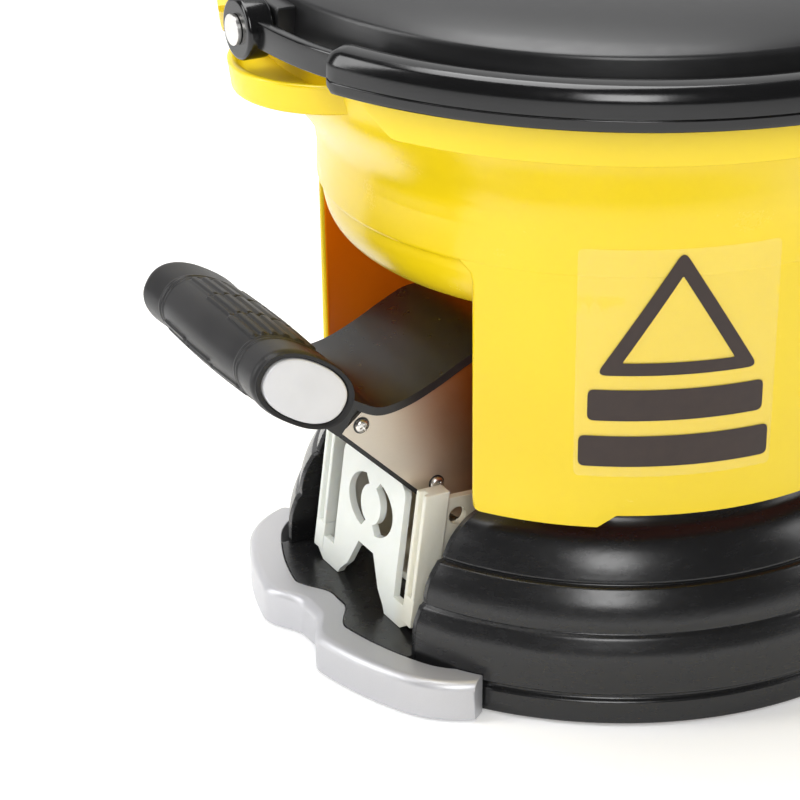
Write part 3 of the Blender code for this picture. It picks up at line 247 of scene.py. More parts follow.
def milky_nylon():
    """Unpigmented nylon, milky; painted shade and painted yellow bounce light make the parts further in under
    the tank and the near side darker and warmer.
    """
    finish = Finish("milky_nylon", {"IOR": 1.53, "Subsurface Weight": 0.25,
                                    "Subsurface Radius": (0.8, 0.7, 0.5), "Subsurface Scale": 0.004})
    x, y, z = finish.axes()
    cloud = finish.noise(35, 4)
    # Mask for painted shade and painted yellow bounce light: the parts further in under the tank, and the near
    # side.
    deep = 1 - (1 - x.above(-0.112, 0.012)) * (1 - 0.55 * (0 - y).above(0.036, 0.006))
    pale = finish.mix(cloud, rgb(0.70, 0.73, 0.68), rgb(0.84, 0.86, 0.81))
    painted_warm_shade = finish.mix(cloud, rgb(0.55, 0.47, 0.30), rgb(0.66, 0.60, 0.42))
    finish.color(finish.mix(deep * 0.75, pale, painted_warm_shade))
    finish.rough(0.36 + 0.14 * finish.noise(120, 4))
    finish.bump(finish.noise(300, 3) + cloud * 0.5, 0.0003, 0.4)
    return finish.material


def silver_satin():
    """Silver-pigmented plastic: satin, with fine flake."""
    finish = Finish("silver_satin", {"Metallic": 0.55, "IOR": 1.5})
    flake = finish.noise(2600, 1)
    cloud = finish.noise(14, 3)
    finish.color(finish.mix(flake * 0.5 + cloud * 0.5, rgb(0.50, 0.50, 0.52), rgb(0.62, 0.62, 0.64)))
    finish.rough(0.36 + 0.12 * cloud)
    finish.bump(flake, 0.00006, 0.3)
    return finish.material


def cap_silver():
    finish = Finish("cap_silver", {"Metallic": 0.15, "IOR": 1.5})
    cloud = finish.noise(60, 3)
    finish.color(finish.mix(cloud, rgb(0.60, 0.60, 0.61), rgb(0.70, 0.70, 0.71)))
    finish.rough(0.34 + 0.10 * finish.noise(500, 3))
    finish.bump(finish.noise(900, 2), 0.00005, 0.4)
    return finish.material


YELLOW = tank_yellow()
PAINTED_GLOW_LINING = painted_glow_lining()
BLACK_BASE = black_gloss("base_black", 0.16, 0.008, 1.4)
BLACK_ARM = black_gloss("arm_black", 0.20, 0.009, 0.7)
BLACK_GUARD = black_gloss("guard_black", 0.24, 0.008)
BLACK_BAIL = black_gloss("bail_black", 0.07, 0.004, 0.12)
RUBBER = grip_rubber()
NYLON = milky_nylon()
SILVER = silver_satin()
CAP = cap_silver()
print("plastic finishes ready")

# %% [markdown]
# ## Metals and the sign's film
#
# The pedal's side plates are zinc-plated sheet: a fine brushed grain runs along the sheet, and the plating
# is blotchy, from grey to straw. Small steel parts are brighter. The sign is a clear film with dark ink.

# %% Metal and film finishes
def plated_sheet(name="plated_sheet", grain_axis=(1, 1, 26)):
    finish = Finish(name, {"Metallic": 0.85, "IOR": 1.5})
    blotch = finish.noise(28, 5, rough=0.6)
    grain = finish.noise(160, 4, grain_axis)
    x, y, z = finish.axes()
    straw = finish.mix(blotch, rgb(0.52, 0.45, 0.36), rgb(0.74, 0.68, 0.58))
    bright = finish.mix(grain * 0.35, straw, rgb(0.86, 0.80, 0.70))
    # Painted shade and a painted orange reflection of the yellow tank, on the part of the plate towards the
    # tank and upward.
    painted_shade_reflection = (x + z * 0.35 + 0.02 * blotch).above(-0.066, 0.032)
    finish.color(finish.mix(painted_shade_reflection, bright, rgb(0.42, 0.16, 0.02)))
    finish.rough(0.30 + 0.16 * blotch + 0.10 * grain)
    finish.bump(grain, 0.00008, 0.35)
    return finish.material


def turned_steel():
    finish = Finish("turned_steel", {"Metallic": 1.0})
    wear = finish.noise(90, 4)
    finish.color(finish.mix(wear, rgb(0.62, 0.60, 0.57), rgb(0.82, 0.81, 0.78)))
    finish.rough(0.20 + 0.20 * wear)
    finish.bump(finish.noise(700, 2, (1, 1, 12)), 0.00006, 0.3)
    return finish.material


def clear_film():
    finish = Finish("clear_film", {"Alpha": 0.05, "IOR": 1.45})
    haze = finish.noise(50, 3)
    finish.color(finish.mix(haze, rgb(0.90, 0.88, 0.70), rgb(1.0, 0.98, 0.84)))
    finish.rough(0.14 + 0.10 * haze)
    return finish.material


def sign_ink():
    finish = Finish("sign_ink", {"IOR": 1.45})
    patch = finish.noise(140, 4)
    finish.color(finish.mix(patch, rgb(0.020, 0.010, 0.008), rgb(0.038, 0.022, 0.016)))
    finish.rough(0.30 + 0.15 * patch)
    return finish.material


ZINC = plated_sheet()
STEEL = turned_steel()
FILM = clear_film()
INK = sign_ink()
print("metal finishes ready")


# %% [markdown]
# ## Shape helpers
#
# Most of the bucket is turned, swept or cut from sheet. A turned piece is one outline spun about an axis; a
# swept piece is one section carried along a path; a plate is a flat outline with thickness and a small bevel.
# Moulded corners are never sharp, so outlines get their corners rounded first.

# %% Shape helpers
def mm(*points):
    """Points given in millimetres, in metres."""
    return [(u * MM, v * MM) for u, v in points]


def toward(angle, radius):
    """A plan point at an angle in degrees from the pedal's direction, turning towards the label."""
    return (-radius * cos(radians(angle)), -radius * sin(radians(angle)))


def arc(centre, radius, start, end, count):
    turns = [radians(start + (end - start) * i / (count - 1)) for i in range(count)]
    return [(centre[0] + radius * cos(t), centre[1] + radius * sin(t)) for t in turns]


def curve_through(points, steps=8):
    """A smooth line through points in the plane."""
    first = tuple(2 * a - b for a, b in zip(points[0], points[1]))
    last = tuple(2 * a - b for a, b in zip(points[-1], points[-2]))
    ring = [first, *points, last]
    out = []
    for p0, p1, p2, p3 in zip(ring, ring[1:], ring[2:], ring[3:]):
        for k in range(steps):
            t = k / steps
            quads = zip(p0, p1, p2, p3)
            out.append(tuple(0.5 * (2 * b + (c - a) * t + (2 * a - 5 * b + 4 * c - d) * t * t
                                    + (3 * b - a - 3 * c + d) * t ** 3) for a, b, c, d in quads))
    out.append(points[-1])
    return out


def rounded(ring, radius, count=4):
    """A closed outline with its corners rounded."""
    out = []
    for i, here in enumerate(ring):
        before = Vector(ring[i - 1])
        after = Vector(ring[(i + 1) % len(ring)])
        here = Vector(here)
        back = before - here
        ahead = after - here
        turn = back.angle(ahead, pi)
        if turn > radians(160) or min(back.length, ahead.length) < 1e-7:
            out.append(tuple(here))
            continue
        reach = min(radius, back.length * 0.48, ahead.length * 0.48)
        a = here + back.normalized() * reach
        b = here + ahead.normalized() * reach
        for k in range(count + 1):
            t = k / count
            out.append(tuple(a * (1 - t) ** 2 + here * 2 * t * (1 - t) + b * t ** 2))
    return out


def to_object(bm, name, crease=38):
    """Close off a mesh being built, with smooth shading broken only at true edges."""
    bmesh.ops.remove_doubles(bm, verts=bm.verts, dist=1e-7)
    bmesh.ops.recalc_face_normals(bm, faces=bm.faces)
    mesh = bpy.data.meshes.new(name)
    bm.to_mesh(mesh)
    bm.free()
    mesh.shade_smooth()
    mesh.set_sharp_from_angle(angle=radians(crease))
    made = bpy.data.objects.new(name, mesh)
    bpy.context.scene.collection.objects.link(made)
    return made


def grid_to_object(name, rings, loop=False, capped=True, crease=38):
    """A skin over rings of equal point count; a loop joins the last ring to the first."""
    bm = bmesh.new()
    loops = [[bm.verts.new(point) for point in ring] for ring in rings]
    count = len(rings[0])
    pairs = list(zip(loops, loops[1:]))
    if loop:
        pairs.append((loops[-1], loops[0]))
    for a, b in pairs:
        for i in range(count):
            bm.faces.new((a[i], a[(i + 1) % count], b[(i + 1) % count], b[i]))
    if capped and not loop:
        bm.faces.new(list(reversed(loops[0])))
        bm.faces.new(loops[-1])
    return to_object(bm, name, crease)


def lathe(name, profile, steps=160, centre=(0, 0), crease=38):
    """Spin a closed outline of (radius, height) about a vertical axis."""
    rings = []
    for i in range(steps):
        turn = 2 * pi * i / steps
        rings.append([(centre[0] + r * cos(turn), centre[1] + r * sin(turn), z) for r, z in profile])
    return grid_to_object(name, rings, loop=True, crease=crease)


def plate(name, outline, low, high, axis="Y", holes=(), bevel=0.5 * MM):
    """A flat outline given thickness and bevelled edges. Along Y it is (x, z), X (y, z), Z (x, y)."""
    curve = bpy.data.curves.new(name, "CURVE")
    curve.dimensions = "2D"
    curve.fill_mode = "BOTH"
    curve.extrude = (high - low) / 2
    for ring in (outline, *holes):
        spline = curve.splines.new("POLY")
        spline.points.add(len(ring) - 1)
        for point, (u, v) in zip(spline.points, ring):
            point.co = (u, v, 0, 1)
        spline.use_cyclic_u = True
    flat = bpy.data.objects.new(name, curve)
    bpy.context.scene.collection.objects.link(flat)
    middle = (low + high) / 2
    turns = {"Y": Matrix.Translation((0, middle, 0)) @ Matrix.Rotation(pi / 2, 4, "X"),
             "X": (Matrix.Translation((middle, 0, 0)) @ Matrix.Rotation(pi / 2, 4, "Z")
                   @ Matrix.Rotation(pi / 2, 4, "X")),
             "Z": Matrix.Translation((0, 0, middle))}
    bpy.context.view_layer.update()
    mesh = bpy.data.meshes.new_from_object(flat.evaluated_get(bpy.context.evaluated_depsgraph_get()))
    bpy.data.objects.remove(flat)
    mesh.transform(turns[axis])
    bm = bmesh.new()
    bm.from_mesh(mesh)
    made = to_object(bm, name)
    if bevel:
        soften(made, bevel)
    return made


def soften(obj, width, segments=2, angle=35):
    """Bevel the true edges, and shade so that flats stay flat."""
    obj.data.shade_smooth()
    bevel = obj.modifiers.new("edges", "BEVEL")
    bevel.width = width
    bevel.segments = segments
    bevel.limit_method = "ANGLE"
    bevel.angle_limit = radians(angle)
    obj.modifiers.new("shading", "WEIGHTED_NORMAL")
    return obj


def rod(name, start, end, radius, sides=48, bevel=0.4 * MM):
    start = Vector(start)
    end = Vector(end)
    turn = (end - start).to_track_quat("Z", "Y").to_matrix().to_4x4()
    bm = bmesh.new()
    bmesh.ops.create_cone(bm, cap_ends=True, segments=sides, radius1=radius, radius2=radius,
                          depth=(end - start).length, matrix=Matrix.Translation((start + end) / 2) @ turn)
    made = to_object(bm, name)
    return soften(made, bevel) if bevel else made


def block(name, low, high, bevel=0.8 * MM):
    bm = bmesh.new()
    size = [h - l for l, h in zip(low, high)]
    middle = [(h + l) / 2 for l, h in zip(low, high)]
    bmesh.ops.create_cube(bm, size=1.0, matrix=Matrix.Translation(middle) @ Matrix.Diagonal((*size, 1)))
    made = to_object(bm, name)
    return soften(made, bevel) if bevel else made


def cut(obj, *tools):
    """Take the tools' shapes out of a piece for good, and throw the tools away."""
    for tool in tools:
        modifier = obj.modifiers.new("cut", "BOOLEAN")
        modifier.operation = "DIFFERENCE"
        modifier.solver = "EXACT"
        modifier.object = tool
        bpy.context.view_layer.update()
        shaped = obj.evaluated_get(bpy.context.evaluated_depsgraph_get())
        mesh = bpy.data.meshes.new_from_object(shaped)
        obj.modifiers.clear()
        obj.data = mesh
        bpy.data.objects.remove(tool)
    obj.data.shade_smooth()
    obj.data.set_sharp_from_angle(angle=radians(38))
    return obj


def fit(obj, material, body, slot, *stands_for):
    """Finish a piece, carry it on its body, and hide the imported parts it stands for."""
    obj.data.materials.clear()
    obj.data.materials.append(material)
    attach(obj, body)
    if stands_for:
        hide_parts(*stands_for)
    return obj


print("shape helpers ready")

# %% [markdown]
# ## The yellow tank
#
# The real tank is one moulding: a flared mouth, a straight wall, a rounded bowl, and a skirt below the bowl
# that slips over the base. It could be cut from one solid, but a cut leaves hard edges. Here the bowl is
# turned as a full circle, and the skirt is a separate sweep that stops at both sides of the pedal's opening,
# so each edge of the opening can be a soft round lip.

# %% Tank: the turned bowl
TANK_R = 141 * MM
WALL = 3.2 * MM
RIM_R, RIM_Z = 172 * MM, 300 * MM
FLOOR_Z = 190 * MM
SKIRT_Z = 92 * MM
SKIRT_TOP = 214.5 * MM

flare = curve_through([(RIM_R, RIM_Z), (170.4 * MM, 286 * MM), (165.6 * MM, 274 * MM), (157 * MM, 262 * MM),
                       (148.3 * MM, 251 * MM), (143 * MM, 241.5 * MM), (TANK_R, 231 * MM)], 6)
belly = [(TANK_R, SKIRT_TOP), (TANK_R - 1 * MM, SKIRT_TOP - 1.3 * MM),
         (TANK_R - 2.2 * MM, SKIRT_TOP - 1.2 * MM)]
belly += curve_through(mm((138.6, 211.5), (138.2, 206), (136.4, 199.5), (132.6, 193.4), (127, 189),
                          (119, 186.6), (109, 186)), 6)
inside = curve_through([(109 * MM, FLOOR_Z + WALL), (122 * MM, 198 * MM), (129.8 * MM, 206.5 * MM),
                        (134.6 * MM, 220 * MM), (138.3 * MM, 238 * MM), (145.5 * MM, 252.5 * MM),
                        (154 * MM, 263.5 * MM), (162.4 * MM, 275.4 * MM), (167 * MM, 287.5 * MM),
                        (RIM_R - WALL, RIM_Z)], 6)
spigot = [(30 * MM, FLOOR_Z - 4 * MM), (30 * MM, 176 * MM), (16 * MM, 176 * MM), (16 * MM, 206 * MM),
          (22 * MM, 206 * MM), (28 * MM, FLOOR_Z + 1.2 * MM)]
bowl_outline = rounded([*flare, *belly, *spigot, *inside], 1.4 * MM)
tank_bowl = lathe("tank_bowl", bowl_outline, 200)
fit(tank_bowl, YELLOW, "base", "yellow_plastic", "bucket_body")
print("bowl: %d faces" % len(tank_bowl.data.polygons))

# %% [markdown]
# ### The skirt and the pedal's opening
#
# The skirt is a ring with a gap. Each column of its grid stands at one angle round the ring. Near the gap
# the two faces close together in a half circle, which makes the soft lip, and the lower corners are rounded.
# Part of the way round, the lower edge steps up a little.

# %% Tank: the swept skirt
OPEN_HALF = 32.0
CORNER_R = 8 * MM
STEP_FROM, STEP_TO, STEP_UP = 56.5, 60.0, 6 * MM


def opening_edge(height):
    """Half of the opening's angle at a height: it closes in a quarter circle under the wall."""
    into = max(0.0, height - (SKIRT_TOP - 1.5 * MM - CORNER_R))
    into = min(into, CORNER_R)
    return OPEN_HALF - degrees((CORNER_R - sqrt(CORNER_R ** 2 - into ** 2)) / TANK_R)


def skirt_low(angle):
    """The lower edge's height at an angle from the pedal's direction, from 0 to 180."""
    climb = min(1.0, max(0.0, (angle - STEP_FROM) / (STEP_TO - STEP_FROM)))
    from_edge = radians(angle - OPEN_HALF) * TANK_R
    corner = 4 * MM
    lift = 0.0
    if from_edge < corner:
        lift = corner - sqrt(max(0.0, corner ** 2 - (corner - max(from_edge, 0.0)) ** 2))
    return SKIRT_Z + STEP_UP * climb + lift


def skirt_radius(height):
    return TANK_R - 2 * MM * max(0.0, 205 * MM - height) / (113 * MM)


def skirt_columns():
    """Angles round the skirt: close together near the opening and at the step."""
    ends = [0.10, 0.25, 0.45, 0.65, 0.95, 1.4, 2.0]
    half = [OPEN_HALF] + [OPEN_HALF + e for e in ends]
    half += [half[-1] + 2 * (i + 1) for i in range(11)] + [STEP_FROM, 57.2, 58.2, 59.2, STEP_TO]
    half += [STEP_TO + 2.4 * (i + 1) for i in range(50)]
    return half + [360 - a for a in reversed(half[:-1])]


def skirt_ring(angle, heights=24):
    """One closed section: up the outer face and down the inner face."""
    folded = min(angle, 360 - angle)
    low = skirt_low(folded)
    from_end = radians(folded - OPEN_HALF) * TANK_R
    swell = min(1.0, from_end / (WALL / 2))
    half_t = WALL / 2 * sqrt(max(0.0, 1 - (1 - swell) ** 2))
    ring = []
    for face in (1, -1):
        for i in range(heights):
            share = i / (heights - 1)
            if face < 0:
                share = 1 - share
            z = low + (SKIRT_TOP - low) * share
            squeeze = sqrt(max(0.02, 1 - max(0.0, 1 - (z - low) / (WALL / 2)) ** 2))
            edge = opening_edge(z)
            turned = edge + (folded - OPEN_HALF) * (180 - edge) / (180 - OPEN_HALF)
            turned = turned if angle <= 180 else 360 - turned
            middle = skirt_radius(z) - WALL / 2
            sink = 0.25 * MM if share > 0.999 else 0.0
            ring.append((*toward(turned, middle + face * half_t * squeeze - sink), z))
    return ring


skirt = grid_to_object("tank_skirt", [skirt_ring(a) for a in skirt_columns()], crease=60)
fit(skirt, YELLOW, "base", "yellow_plastic")
# The inner faces take the painted orange shade and painted glow.
skirt.data.materials.append(PAINTED_GLOW_LINING)
for face in skirt.data.polygons:
    if face.center.xy.length < skirt_radius(face.center.z) - WALL * 0.8:
        face.material_index = 1
print("skirt: %d faces" % len(skirt.data.polygons))

# %% [markdown]
# ### Turned-down edge and shelves
#
# A deep band hangs from the rim on both long sides, so wet hands can lift the tank. Its ends run down on a
# slant. Between the bands, a round dished shelf stands under each hub of the handle.

# %% Tank: edge bands and shelves
APRON_R, APRON_H, APRON_START = 186 * MM, 19 * MM, 21.0


def apron_ring(angle, start, end):
    from_end = min(angle - start, end - angle)
    depth = APRON_H * min(1.0, 0.18 + from_end / 7.5)
    top, low = RIM_Z - 0.2 * MM, RIM_Z - depth
    slope = 2 * MM * depth / APRON_H
    section = rounded([(APRON_R, top), (APRON_R - slope, low), (APRON_R - slope - WALL, low),
                       (APRON_R - WALL, top - WALL), (RIM_R - 1.5 * MM, top - WALL), (RIM_R - 1.5 * MM, top)],
                      1.0 * MM, 3)
    return [(*toward(angle, r), z) for r, z in section]


for side, start in (("near", APRON_START), ("far", 180 + APRON_START)):
    end = start + 180 - 2 * APRON_START
    turns = [start + 0.75 * i for i in range(12)]
    turns += [turns[-1] + (end - 8.25 - turns[-1]) * i / 70 for i in range(1, 70)]
    turns += [end - 0.75 * i for i in reversed(range(12))]
    band = grid_to_object("tank_band_" + side, [apron_ring(a, start, end) for a in turns])
    fit(band, YELLOW, "base", "yellow_plastic")

LUG_R, LUG_X, LUG_TOP, LUG_H = 47 * MM, 150 * MM, RIM_Z - 7 * MM, 14 * MM
AXLE = 0.1 * MM   # a turned solid stops just short of its own axis
for side, name in ((-1, "tank_shelf_front"), (1, "tank_shelf_rear")):
    outline = rounded([(LUG_R - 1 * MM, LUG_TOP), (LUG_R - 3 * MM, LUG_TOP - LUG_H),
                       (AXLE, LUG_TOP - LUG_H), (AXLE, LUG_TOP - 6 * MM),
                       (LUG_R - 8 * MM, LUG_TOP - 5 * MM), (LUG_R - 4.5 * MM, LUG_TOP)], 1.6 * MM, 5)
    shelf = lathe(name, outline, 120, (side * LUG_X, 0))
    hollow = lathe("hollow", [(RIM_R - 2 * MM, 320 * MM), (RIM_R - 2 * MM, RIM_Z),
                              *mm((168.6, 286), (164, 274), (155.5, 262)), (AXLE, 262 * MM),
                              (AXLE, 320 * MM)], 120)
    cut(shelf, hollow)
    fit(shelf, YELLOW, "base", "yellow_plastic")
print("bands and shelves done")

# %% [markdown]
# ## The black base
#
# The base is a dome with three soft ribs over a plain foot ring. It is turned from one outline, then the
# pedal's well is cut out of its front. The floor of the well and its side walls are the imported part.

# %% Base shell
BASE_R, DECK_Z, WELL_HALF = 157 * MM, 106 * MM, 66 * MM
ribs = [[(124 * MM, DECK_Z), *mm((124, 91), (126, 87))],
        curve_through(mm((126, 87), (133, 82.4), (139, 75), (142.8, 66.5)), 5),
        mm((142.2, 65.2)),
        curve_through(mm((145, 64.6), (149, 57.5), (151.2, 50), (151.4, 45)), 5),
        curve_through([*mm((153.4, 43.4), (156.2, 35)), (BASE_R, 25 * MM), (BASE_R, 17 * MM)], 5),
        mm((153.4, 15.4), (153.4, 13.4), (155.4, 12), (155.6, 1))]
dome = [point for part in ribs for point in part]
lining = mm((152.5, 1), (150, 15.5), (153.6, 24), (151, 42), (148, 45), (146, 57), (139.5, 67), (130, 80),
            (121, 89), (121, 103), (62, 103)) + [(62 * MM, DECK_Z)]
base_shell = lathe("base_dome", rounded(dome + lining, 0.9 * MM, 3), 200)
well_tool = block("well_tool", (-200 * MM, -WELL_HALF, -5 * MM), (-34 * MM, WELL_HALF, 115 * MM), 0)
cut(base_shell, well_tool)
fit(base_shell, BLACK_BASE, "base", "black_plastic", "base_shell")
print("base: %d faces" % len(base_shell.data.polygons))

# %% [markdown]
# ## The toe bumper
#
# A silver bar runs round the front of the base, with a dip in the middle where the toe goes. It is one
# section carried along the front edge; the dip and the closing ends are small changes of its radius.

# %% Toe bumper
BUMPER_R, BUMPER_WIDTH, BUMPER_HALF, BUMPER_TOP = 176.5 * MM, 16 * MM, 38.0, 20 * MM


def bumper_radius(angle):
    away = abs(angle)
    dip = 1.0 if away < 2.0 else 0.0
    if 2.0 <= away < 10.0:
        dip = 0.5 + 0.5 * cos(pi * (away - 2.0) / 8.0)
    end = max(0.0, (away - 27.0) / (BUMPER_HALF - 27.0))
    return BUMPER_R - 12 * MM * dip - 10 * MM * end ** 2


def bumper_ring(angle):
    out = bumper_radius(angle)
    inner = out - BUMPER_WIDTH
    if abs(angle) > 22.9:
        inner = max(inner, BASE_R + 0.3 * MM)
    corners = arc((out - 4.5 * MM, BUMPER_TOP - 4.5 * MM), 4.5 * MM, 0, 90, 8)
    section = [(inner, 1 * MM), (inner + 1 * MM, 0.6 * MM), (out - 1.5 * MM, 0.6 * MM),
               (out - 0.4 * MM, 1.4 * MM), *corners, (inner + 0.6 * MM, BUMPER_TOP),
               (inner, BUMPER_TOP - 0.6 * MM)]
    return [(*toward(angle, r), z) for r, z in section]


count = 190
bumper = grid_to_object("bumper_bar", [bumper_ring(-BUMPER_HALF + 2 * BUMPER_HALF * i / count)
                                       for i in range(count + 1)], crease=50)
soften(bumper, 1.4 * MM, 3, 60)
fit(bumper, SILVER, "base", "silver_plastic", "toe_bumper")
print("bumper: %d faces" % len(bumper.data.polygons))

# %% [markdown]
# ## The pedal's well
#
# A floor and two side walls line the cut in the base. The walls follow the dome's outline, and the floor runs
# right up to the inside of the bumper.

# %% Pedal well
WELL_FLOOR, WELL_WALL, WELL_BACK = 20 * MM, 3 * MM, -34.3 * MM
well_half = WELL_HALF - 0.3 * MM
turns = [-23.6 + 0.4 * i for i in range(119)]
front_edge = [toward(a, bumper_radius(a) - BUMPER_WIDTH - 0.3 * MM) for a in turns]
front_edge = [(x, y) for x, y in front_edge if abs(y) < well_half]
floor_outline = [(WELL_BACK, -well_half), (WELL_BACK, well_half), (front_edge[0][0], well_half), *front_edge,
                 (front_edge[-1][0], -well_half)]
well_floor = plate("well_floor", floor_outline, WELL_FLOOR - WELL_WALL, WELL_FLOOR, axis="Z", bevel=0.2 * MM)
fit(well_floor, BLACK_BASE, "base", "black_plastic", "pedal_well")
for side, tag in ((-1, "near"), (1, "far")):
    y0, y1 = sorted((side * well_half, side * (well_half - WELL_WALL)))
    edge = [(-sqrt(r * r - well_half ** 2), z) for r, z in reversed(dome) if 20.5 * MM < z < 99 * MM]
    top = -sqrt((124 * MM) ** 2 - well_half ** 2)
    outline = [(WELL_BACK, WELL_FLOOR), (edge[0][0], WELL_FLOOR), *edge, (top, 100 * MM),
               (WELL_BACK, 100 * MM)]
    fit(plate("well_wall_" + tag, outline, y0, y1, bevel=0.3 * MM), BLACK_BASE, "base", "black_plastic")
print("well done")

# %% [markdown]
# ## The pedal arm
#
# The arm is a curved moulding: an S-shaped skin that dips behind the foot grip and rises again, with a web
# down each side. The steel side plates are screwed to the webs. Each part of it is an outline with thickness.

# %% Pedal arm
ARM_HALF, ARM_SKIN, FLANGE_OUT, FLANGE_T = 40 * MM, 4 * MM, 35 * MM, 3 * MM
PIVOT = (-60 * MM, 70 * MM)
arm_line = curve_through(mm((-192, 160), (-181, 153), (-168, 145.5), (-157, 138.5), (-146, 134), (-132, 136),
                            (-117, 142), (-103, 149), (-90, 154), (-77, 152.5), (-65, 146), (-55, 138)), 6)
screw_spots = mm((-155, 128), (-116, 90), (-75, 128))


def beside(path, distance):
    out = []
    for i, (x, z) in enumerate(path):
        x0, z0 = path[max(i - 1, 0)]
        x1, z1 = path[min(i + 1, len(path) - 1)]
        length = hypot(x1 - x0, z1 - z0)
        out.append((x - (z1 - z0) / length * distance, z + (x1 - x0) / length * distance))
    return out


def side_outline(drop, from_x, top_gap):
    top = [p for p in beside(arm_line, -ARM_SKIN / 2 - top_gap) if p[0] > from_x]
    boss = arc(PIVOT, 13 * MM, 20, -110, 16)
    corner = rounded([(-100 * MM, 66 * MM), (-117 * MM, 79 * MM - drop * 0.6), (-122 * MM, 85 * MM - drop),
                      (-165 * MM, 126 * MM - drop)], 3 * MM, 4)[4:-5]
    return top + [(-45 * MM, 118 * MM), (-46 * MM, 84 * MM)] + boss + [(-100 * MM, 66 * MM), *corner,
                                                                       (-165 * MM, 126 * MM - drop)]


skin_outline = beside(arm_line, ARM_SKIN / 2) + list(reversed(beside(arm_line, -ARM_SKIN / 2)))
skin = plate("arm_skin", skin_outline, -ARM_HALF, ARM_HALF, bevel=1.3 * MM)
fit(skin, BLACK_ARM, "pedal", "black_plastic", "pedal_arm")
for side, tag in ((-1, "near"), (1, "far")):
    low = min(side * FLANGE_OUT, side * (FLANGE_OUT - FLANGE_T))
    web_edge = side_outline(3 * MM, -172 * MM, -1 * MM)
    web = plate("arm_web_" + tag, web_edge, low, low + FLANGE_T, bevel=0.5 * MM)
    fit(web, BLACK_ARM, "pedal", "black_plastic")
    inner, outer = sorted((side * 31 * MM, side * 39.6 * MM))
    heel = rounded(mm((-167, 125), (-157.5, 138.5), (-168, 147), (-182, 153), (-183, 146), (-177, 134)),
                   2.5 * MM, 4)
    fit(plate("arm_heel_" + tag, heel, inner, outer, bevel=1.2 * MM), BLACK_ARM, "pedal", "black_plastic")
print("arm done")

# %% [markdown]
# ### The foot grip
#
# A thick rubber sleeve of oval section slides over the arm's bar. It swells in the middle and has smooth
# collars at the ends. The face under the sole is plain, and above and below it lie three groups of fine
# ribs, each group starting a little further round than the last. The ribs are real relief in the mesh.

# %% Foot grip
GRIP_X, GRIP_Z, GRIP_HALF = -194 * MM, 162 * MM, 60 * MM
GRIP_A, GRIP_B, GRIP_TILT = 28 * MM, 17 * MM, 32.0


def oval(angle, scale=1.0, lift=0.0, power=2.3):
    """A point of the grip's oval section, in the side view, pushed out by lift."""
    c, s = cos(angle), sin(angle)
    a = GRIP_A * scale * abs(c) ** (2 / power) * (1 if c >= 0 else -1)
    b = GRIP_B * scale * abs(s) ** (2 / power) * (1 if s >= 0 else -1)
    length = hypot(a, b)
    a *= 1 + lift / length
    b *= 1 + lift / length
    tilt = radians(180 - GRIP_TILT)
    return (GRIP_X + a * cos(tilt) - b * sin(tilt), GRIP_Z + a * sin(tilt) + b * cos(tilt))


def swell(y):
    """How full the sleeve is along its length."""
    away = abs(y) / GRIP_HALF
    body = 0.995 - 0.045 * (away / 0.63) ** 2 if away < 0.63 else 0.95 + 0.05 * ((away - 0.63) / 0.31)
    if away > 0.94:
        body = 1.0 - 0.05 * ((away - 0.94) / 0.06) ** 2
    return body


def smooth_step(value, edge, soft):
    share = min(1.0, max(0.0, (value - edge + soft) / (2 * soft)))
    return share * share * (3 - 2 * share)


RIB_UPPER, RIB_LOWER = 282.0, 82.0   # middles of the ribbed sides, in degrees round the section


def rib_relief(angle, y):
    """Height of the ribs and collar rings over the sleeve's plain skin."""
    ring = 0.0
    for at in (38.5, 41.0):
        ring += 0.45 * MM * smooth_step(1.0 - abs(abs(y) / MM - at), 0.4, 0.3)
    if abs(y) > 37 * MM:
        return ring
    group = min(2, int((y + 37 * MM) / (24.7 * MM)))
    within = ((y + 37 * MM) % (24.7 * MM)) / (24.7 * MM)
    gap = 1.0 - smooth_step(abs(within - 0.5), 0.475, 0.02)
    turn = degrees(angle) % 360
    relief = 0.0
    for middle in (RIB_UPPER, RIB_LOWER):
        away = (turn - middle + 180) % 360 - 180
        zone = 1.0 - smooth_step(abs(away + 5 * (group - 1)), 42, 2.0)
        wave = 0.5 + 0.5 * cos(radians(away * 360 / 14.0))
        relief += zone * (0.2 + 0.8 * smooth_step(wave, 0.42, 0.28)) * 1.3 * MM
    return ring + relief * gap


ACROSS, ALONG = 240, 180
GRIP_TURNS = [2 * pi * k / ACROSS for k in range(ACROSS)]
grip_rings = []
for i in range(ALONG + 1):
    y = -GRIP_HALF + 2 * GRIP_HALF * i / ALONG
    section = [oval(t, swell(y), rib_relief(t, y) - 0.7 * MM) for t in GRIP_TURNS]
    grip_rings.append([(x, y, z) for x, z in section])


def grip_lip(y, scale):
    """One plain ring of the sleeve's mouth or of its end badge."""
    return [(x, y, z) for x, z in [oval(t, scale) for t in GRIP_TURNS]]


